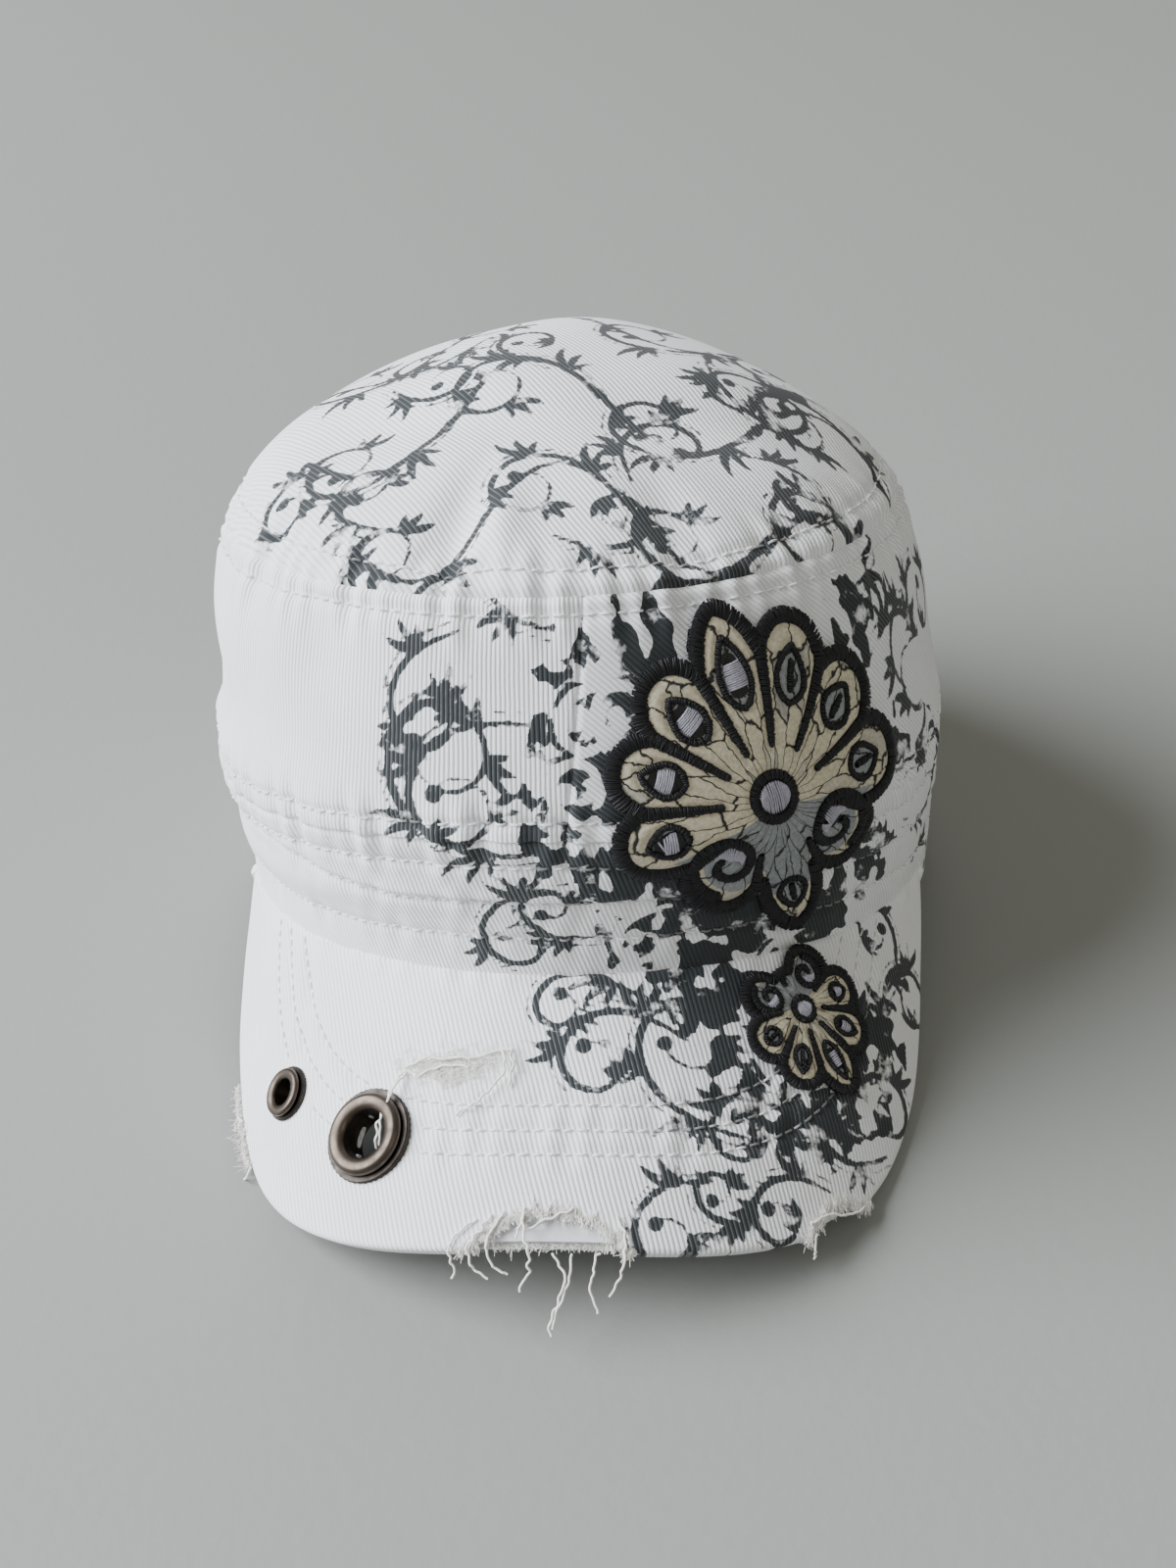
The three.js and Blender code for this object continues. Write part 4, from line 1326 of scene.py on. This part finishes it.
def petal_outline(style, turn):
    """The rim of a petal's inner leaf, and the leaf's half width at shares of its length"""
    size = style["size"]
    centre = math.radians(turn)
    tip = float(lobe_reach(style, centre)) - 0.17 * size
    root = style["vein"] * size
    share = np.linspace(0, 1, 40)
    half = 0.085 * size * np.sin(np.pi * share**0.8) ** 0.75
    along = mix(root, tip, share)
    axis = np.array([math.sin(centre), math.cos(centre)])
    beside = np.array([axis[1], -axis[0]])
    return along, half, axis, beside


def ornament_bands(style):
    """Black bands and silver fillings of an ornament, as rows of flat places and half widths"""
    size = style["size"]
    edge_half = style["edge_band"]
    direction = np.linspace(-np.pi, np.pi, 721)
    rim = polar(direction, lobe_reach(style, direction) - edge_half * 0.9)
    black = [np.insert(rim, 2, edge_half, axis=1)]
    silver = []
    for turn in style["creases"]:
        way = math.radians(turn)
        end = polar(way, float(lobe_reach(style, way)) - edge_half)
        start = polar(way * 0.97, style["root"] * size)
        black.append(band_between(start, end, *edge_half * crease_widths))
    thin = 0.32 * edge_half
    for index, turn in enumerate(style["petals"]):
        along, half, axis, beside = petal_outline(style, turn)
        middle = np.outer(along, axis)
        for hand in (1, -1):
            black.append(np.insert(middle + np.outer(hand * half, beside), 2, thin, axis=1))
        if index % 2:
            black.append(np.column_stack([middle, 0.25 * (half - 2.2 * thin)])[9:30])
        else:
            silver.append(np.column_stack([middle, 0.9 * (half - 2.2 * thin)])[12:26])
    for turn, far, radius, start, sweep in style["scrolls"]:
        share = np.linspace(0, 1, 160)
        angle = np.radians(start + sweep * share)
        middle = polar(math.radians(turn), far * size)
        path = middle + polar(angle, radius * size * (1.08 - 0.85 * share))
        black.append(np.column_stack([path, edge_half * (0.8 - 0.35 * share)]))
        path = middle + polar(angle, radius * size * (0.62 - 0.5 * share))
        silver.append(np.column_stack([path[36:84], 0.045 * size * np.sin(np.linspace(0, np.pi, 48))]))
    boss = 0.115 * size
    centre = np.array([0, 0.04 * size])
    ring = centre + polar(np.linspace(-np.pi, np.pi, 90), boss)
    black.append(np.insert(ring, 2, 0.6 * edge_half, axis=1))
    across = np.linspace(-0.7 * boss, 0.7 * boss, 24)
    half = np.sqrt(np.maximum(0.01, (0.74 * boss) ** 2 - across**2))
    silver.append(np.column_stack([across, np.full(24, centre[1]), half]))
    return black, silver


def satin_mesh(name, style, form, bands, material, swing, looseness):
    """Threads laid side by side across each band"""
    gathered = []
    for band in bands:
        length = np.linalg.norm(np.diff(band[:, :2], axis=0), axis=1).sum()
        stops = spaced(band, max(4, int(length / satin_pitch)))
        ahead = np.gradient(stops[:, :2], axis=0)
        ahead /= np.linalg.norm(ahead, axis=1, keepdims=True)
        beside = np.column_stack([-ahead[:, 1], ahead[:, 0]])
        place, facing = patch_points(style, form, stops[:, :2], patch_top + band_rise)
        past, _ = patch_points(style, form, stops[:, :2] + 0.2 * beside, patch_top + band_rise)
        gathered.append((place, past - place, facing, 2 * stops[:, 2]))
    places, runs, facings, spans = (np.concatenate(values) for values in zip(*gathered))
    jitter = np.random.default_rng(23)
    spans = spans + 0.3 + jitter.uniform(-0.1, 0.6 * looseness, len(spans))
    places = places + jitter.normal(0, 0.09 * looseness, places.shape)
    return lay_threads(
        name, places, runs, facings, spans, np.full(len(places), no_ink), Thickness=satin_thickness * 0.001,
        Bow=0.0005, Sink=0.0005, Swing=swing, Steps=5, Sides=5, Seed=8, Material=material)


def patch_mesh(name, style, form, bands, rays, rings):
    """The ornament's cloth: puffed up between its bands, and closed by its foot on the cap"""
    direction = np.arange(rays) / rays * 2 * np.pi
    share = np.linspace(1, 0, rings)
    out = (lobe_reach(style, direction) - 0.35)[:, None] * share
    flat = polar(direction[:, None], out)
    away = np.minimum(distance_from(np.concatenate(bands), flat.reshape(-1, 2)).reshape(out.shape), 6)
    puff = patch_puff * (1 - np.exp(-(np.maximum(away, 0) ** 2)))
    top, _ = patch_points(style, form, flat, patch_top - 0.25 + puff)
    sides = [patch_points(style, form, flat[:, 0], rise)[0] for rise in (patch_foot, 0.4)]
    points = np.concatenate([np.stack(sides, 1), top], 1)
    points[:, -1] = points[:, -1].mean(0)
    lower = np.abs(wrapped(direction)) > math.radians(103)
    tone = lower[:, None] & (share < 0.8)
    for turn in style["petals"]:
        along, half, axis, beside = petal_outline(style, turn)
        width = np.interp(flat @ axis, along, half, left=0, right=0)
        tone = tone | (np.abs(flat @ beside) < width)
    at = np.arange(points[..., 0].size).reshape(points.shape[:2])
    after = np.roll(at, -1, 0)
    squares = np.stack([at[:, :-1], at[:, 1:], after[:, 1:], after[:, :-1]], -1).reshape(-1, 4)
    foot = at[::-1, 0]
    mesh = finish_mesh(name, points.reshape(-1, 3), [*squares, foot])

    def with_sides(values):
        return np.concatenate([values[:, :1], values[:, :1], values], 1)

    grain = with_sides(np.stack([wrapped(direction)[:, None] * 26 + 0 * out, out], -1)).reshape(-1, 2)
    lay_cloth(mesh, grain[np.concatenate([squares.ravel(), foot])])
    lay_values(mesh, "band", with_sides(away))
    lay_values(mesh, "tone", with_sides(tone))
    return clean_up(mesh)


crack_scale = 210.0
black_ground = (0.008, 0.008, 0.009, 1)
cream_coat = (0.60, 0.545, 0.405, 1)
grey_coat = (0.27, 0.29, 0.30, 1)


def crackled_cloth():
    material, tree, surface, place = new_material("crackled_cloth")
    grain = wire(tree, "ShaderNodeUVMap", uv_map="cloth").outputs[0]
    wander = dimmed(tree, noise(tree, place, 330, 3)["Color"], 0.0035)
    bent = directed(tree, "ADD", grain, wander).outputs[0]
    cracks = {"Vector": directed(tree, "MULTIPLY", bent, (1, 0.42, 1)).outputs[0], "Scale": crack_scale}
    crack = wire(tree, "ShaderNodeTexVoronoi", cracks, feature="DISTANCE_TO_EDGE", voronoi_dimensions="2D")
    whole = ramp(tree, crack.outputs["Distance"], 0.02, 0.055)
    cell = wire(tree, "ShaderNodeTexVoronoi", cracks, voronoi_dimensions="2D").outputs["Color"]
    patchy = wire(tree, "ShaderNodeSeparateColor", {0: cell}).outputs[0]
    greyer = ramp(tree, maths(tree, "MULTIPLY_ADD", patchy, 0.55, laid_value(tree, "tone")), 0.42, 0.62)
    grit = noise(tree, place, 1300, 3)[0]
    coat = dimmed(tree, blend(tree, greyer, cream_coat, grey_coat), ramp(tree, grit, 0.3, 0.7, 0.72, 1.12))
    shown = maths(tree, "MULTIPLY", ramp(tree, laid_value(tree, "band"), 0.12, 0.3), whole)
    height = maths(tree, "MULTIPLY_ADD", grit, 0.35, whole)
    plug(tree, surface, {
        "Base Color": blend(tree, shown, black_ground, coat), "Normal": raised(tree, height, 0.5, 0.0003),
        "Roughness": 0.6,
    })
    return material


black_thread = thread_material("black_satin_thread", (0.012, 0.012, 0.014), 0.42, 0.0, False)
silver_thread = thread_material("silver_satin_thread", (0.42, 0.41, 0.49), 0.35, 0.1, False)
coated_cloth = crackled_cloth()


def add_ornament(name, style, form, rays, rings, node):
    black, silver = ornament_bands(style)
    cloth = patch_mesh(name, style, form, black + silver, rays, rings)
    add_piece(name, cloth, coated_cloth, "applique", node)
    stitched = satin_mesh(name + "_black_satin", style, form, black, black_thread, 0.14, 0.6)
    add_piece(name + "_black_satin", stitched, black_thread, "applique")
    filled = satin_mesh(name + "_silver_satin", style, form, silver, silver_thread, 0.03, 0.2)
    add_piece(name + "_silver_satin", filled, silver_thread, "applique")


add_ornament("crown_ornament", crown_ornament, crown_patch_form, 480, 56, "applique_crown")
add_ornament("peak_ornament", peak_ornament, peak_patch_form, 300, 34, "applique_peak")

# Frayed edges and loose threads
# Where the cloth of the peak is torn or rubbed through, its yarns have come loose. Short ends stand along
# the tears, and some whole threads hang over the edge and into the large eyelet.
loose_thickness = 0.52
loose_wave = 0.32
ends_to_mm = 34
rubbed_ends = 620
fringe_ends = 520
# places across, along and rise on the way of each loose thread
loose_threads = [
    [(-15, 53.5, 0.4), (-19, 56.5, 1.0), (-20.5, 60, 0.9), (-19.8, 63, -1.5), (-20.8, 64.5, -2.8)],
    [(-12, 52.5, 0.5), (-14, 55.5, 1.0), (-16.5, 59.5, 1.0), (-15.5, 63.5, -1.5), (-12.8, 65, -2.4)],
    [(-9.5, 52, 0.5), (-11.5, 56, 0.8), (-13.2, 59.5, 1.0), (-11.5, 62.5, -1.0), (-8.6, 64.2, -2.2)],
    [(-5.2, 51.2, 0.6), (-5.4, 55, 1.2), (-4, 60, 1.2), (-3.8, 64, -1.2), (-5.8, 66.2, -2.4), (-6, 67.5, -3)],
    [(-5.0, 51.2, 0.6), (-6.3, 55, 0.4), (-6.8, 57.5, 0.2)],
    [(4.5, 51.5, 0.5), (0, 53.5, 0.6), (-4.2, 55.6, 0.4)],
    [(0.5, 59.8, -2.6), (3.4, 64.5, -3.0), (2.2, 69, -4.2), (0.2, 73.5, -5.6), (0.6, 75.5, -6.5)],
    [(4.6, 59.8, -2.6), (4.2, 65, -3.2), (2.4, 69.5, -4.4), (0.8, 74.2, -6)],
    [(10.5, 59.6, -2.6), (8.6, 63, -3), (8.8, 67, -4), (10.4, 71, -5.4)],
    [(13.5, 52.8, 0.6), (15.2, 56.5, 1.0), (15.6, 61, 0.6), (14.6, 64.5, -1.6), (12.6, 68, -3.4)],
    [(-33.5, 20.6, 0.5), (-35.0, 24, 2.2), (-36.2, 28, 2.6), (-37.8, 32, 2.4), (-39.4, 35, 0.6),
     (-40.6, 36.6, -3)],
    [(-33.1, 20.6, 0.5), (-34.4, 24, 2.5), (-35.8, 28, 2.9), (-37.2, 32.4, 2.4), (-38.6, 35.6, 0.2),
     (-39.6, 38, -3)],
    [(-33.6, 19.6, 0.4), (-28, 18.4, 1.2), (-20, 19.2, 1.0), (-15, 18.4, 0.6), (-12.2, 17.6, 0.4)],
    [(-30, 21.8, 0.4), (-24, 20.2, 0.9), (-18.6, 21, 0.6)],
    [(-11.8, 17.4, 0.4), (-10.6, 20, 1.3), (-11.6, 24, 1.2), (-16, 28.6, 0.9), (-20.8, 31.4, 0.5)],
    [(-13.4, 17.8, 0.4), (-9.6, 17.0, 1.0), (-9.0, 21.5, 1.0), (-9.8, 25.6, 0.5)],
    [(56, 49.5, 0.5), (60, 47.2, 1.1), (66, 46.4, 1.0), (71, 43.2, 0.5)],
    [(57.5, 51.5, 0.4), (57, 54.5, 0.2), (58.2, 56.2, -1.8)],
    [(-87.0, 21.6, 0.2), (-88.8, 20.4, 0.6), (-90.2, 21.2, 0.5), (-90.6, 23.2, 0.1)],
    [(-79.6, 34.2, 0.2), (-81.2, 36.2, 0.5), (-82.6, 36.4, 0.0)],
]


def loose_mesh(name):
    """Round threads along smoothed lines on the peak"""
    curve = bpy.data.curves.new(name, "CURVE")
    curve.dimensions = "3D"
    curve.bevel_depth = loose_thickness * 0.0005
    curve.bevel_resolution = 1
    curve.resolution_u = 5
    curve.use_fill_caps = True
    kinks = np.random.default_rng(19)
    for way in loose_threads:
        stops = spaced(np.array(way, float), 5 * len(way))
        kink = kinks.normal(0, loose_wave, stops.shape) * [1, 1, 0.4]
        kink = (kink + np.roll(kink, 1, 0)) / 2
        kink[[0, -1]] = 0
        places = peak_form(*(stops + kink).T)
        places[:, 2] = np.maximum(places[:, 2], 0.6 * loose_thickness)
        spline = curve.splines.new("NURBS")
        spline.points.add(len(places) - 1)
        spline.points.foreach_set("co", np.insert(places * 0.001, 3, 1, axis=1).ravel())
        spline.order_u = 3
        spline.use_endpoint_u = True
    mesh = made_from(new_object(name, curve))
    mesh.shade_smooth()
    return mesh


def held_in(places, past):
    """Places on the peak, moved in where they are more than a distance past its edge"""
    middle = np.array([0.0, -40.0])
    edge = peak_path(0, 721) - middle
    away = places - middle
    limit = np.interp(np.arctan2(away[:, 0], away[:, 1]), np.arctan2(edge[:, 0], edge[:, 1]),
                      np.linalg.norm(edge, axis=1) + past)
    far = np.linalg.norm(away, axis=1)
    return middle + away * np.minimum(1, limit / far)[:, None]


def fuzz_points():
    """Places, directions, rises and lengths of the short yarn ends at the tears and on the rubbed patch"""
    scatter = np.random.default_rng(41)
    ends = []
    for tear in tears:
        sideways, inward = tear_axes(tear)
        share = scatter.uniform(-0.5, 0.5, int(tear["length"] * ends_to_mm))
        start = np.array([tear["across"], tear["along"]]) + np.outer(share * tear["length"], sideways)
        deep = tear_depth(tear, start)
        keep = deep > -3.2
        start = start[keep] + np.outer(deep[keep] + scatter.uniform(-0.3, 0.9, keep.sum()), inward)
        start = held_in(start, 0.3)
        way = -inward + scatter.normal(0, 0.5, start.shape)
        rise = scatter.uniform(-0.6, 0.35, len(start))
        ends.append((start, way, rise, scatter.gamma(2.0, 0.7, len(start)) + 0.5))
    number = rubbed_ends
    start = np.column_stack([scatter.normal(-22, 6.0, number), scatter.normal(19.9, 1.9, number)])
    start[:, 1] -= 0.012 * (start[:, 0] + 22) ** 2 - 0.8
    way = np.column_stack([scatter.normal(0, 1, number), scatter.normal(0, 0.8, number)])
    rise = scatter.uniform(0.0, 0.4, number)
    ends.append((start, way, rise, scatter.gamma(2.0, 0.6, number) + 0.6))
    number = fringe_ends
    start = np.column_stack([scatter.uniform(-17, 15.5, number), scatter.uniform(57.2, 58.9, number)])
    way = np.column_stack([scatter.normal(0, 0.7, number), scatter.uniform(0.2, 1, number)])
    rise = scatter.uniform(-3.1, -2.4, number)
    ends.append((start, way, rise, scatter.gamma(2.0, 0.55, number) + 0.6))
    return (np.concatenate(values) for values in zip(*ends))


def fuzz_mesh(name):
    flats, ways, rises, lengths = fuzz_points()
    places = peak_form(*flats.T, rises)
    leaning = np.random.default_rng(7).normal(0.0, 0.22, len(flats))
    runs = peak_form(*(flats + 0.5 * ways).T, rises + leaning) - places
    facings = peak_facing(flats[:, 0])
    # ends that reach the table lie flat on it
    facings[places[:, 2] < 0.5 * lengths + 0.3] = (0, 0, 1)
    places[:, 2] = np.maximum(places[:, 2], 0.2)
    return lay_threads(
        name, places, runs, facings, lengths, np.full(len(places), no_ink), Thickness=0.00014, Bow=0.0004,
        Sink=0.0, Swing=0.4, Steps=4, Sides=3, Seed=12, Material=loose_thread)


loose_thread = thread_material("loose_cotton", (0.93, 0.91, 0.86), 0.85, 0.5, False)
add_piece("loose_threads", loose_mesh("loose_threads"), loose_thread, "twill")
add_piece("frayed_ends", fuzz_mesh("frayed_ends"), loose_thread, "twill")

# Camera
# It stands in front of the cap, looks down on it and is tilted a little.
camera_focal_pixels = 2014.04
photo_height_pixels = 1600
camera_down = math.radians(37.0)
camera_yaw = math.radians(-5.41)
camera_roll = math.radians(-3.59)
camera_distance = 513.62
camera_aim = np.array([-0.51, 0, 23.99]) + shift

look = Vector((math.sin(camera_yaw) * math.cos(camera_down), math.cos(camera_yaw) * math.cos(camera_down),
               -math.sin(camera_down)))
side = Vector((math.cos(camera_yaw), -math.sin(camera_yaw), 0))
above = side.cross(look)
turned_side = side * math.cos(camera_roll) + above * math.sin(camera_roll)
turned_above = above * math.cos(camera_roll) - side * math.sin(camera_roll)
camera = new_object("camera", bpy.data.cameras.new("camera"))
camera.data.sensor_fit = "VERTICAL"
camera.data.sensor_height = 36
camera.data.lens = 36 * camera_focal_pixels / photo_height_pixels
camera.data.clip_start = 0.01
axes = Matrix((turned_side, turned_above, -look)).transposed().to_4x4()
camera.matrix_world = Matrix.Translation(Vector(camera_aim) * 0.001 - look * camera_distance * 0.001) @ axes
bpy.context.scene.camera = camera

# Floor and studio light
# A pale grey painted board, a big soft light from the upper left and a weak fill.
floor_half = 6.0
corners = [(x * floor_half, y * floor_half, 0) for x, y in ((-1, -1), (1, -1), (1, 1), (-1, 1))]
floor_mesh = bpy.data.meshes.new("floor")
floor_mesh.from_pydata(corners, [], [(0, 1, 2, 3)])
floor = new_object("floor", floor_mesh)
paint, tree, surface, place = new_material("floor_paint")
brushed = raised(tree, noise(tree, place, 260, 4)[0], 0.25, 0.0004)
plug(tree, surface, {"Base Color": (0.27, 0.278, 0.267, 1), "Normal": brushed, "Roughness": 0.55})
floor_mesh.materials.append(paint)


def add_light(name, place, aim, size, power, colour):
    light = new_object(name, bpy.data.lights.new(name, "AREA"))
    light.data.shape = "DISK"
    light.data.size = size
    light.data.energy = power
    light.data.color = colour
    light.location = place
    light.rotation_euler = (Vector(aim) - Vector(place)).to_track_quat("-Z", "Y").to_euler()


add_light("window", (-2.78, -0.25, 2.0), (0, 0, 0.05), 3.2, 405, (0.945, 0.975, 1.02))
add_light("fill", (0.9, -1.6, 1.8), (0, 0, 0.05), 1.6, 9, (1.0, 0.98, 0.95))
world = bpy.context.scene.world or bpy.data.worlds.new("studio")
bpy.context.scene.world = world
world.use_nodes = True
sky = world.node_tree.nodes["Background"]
plug(world.node_tree, sky, {"Color": (0.88, 0.86, 0.74, 1), "Strength": 0.36})
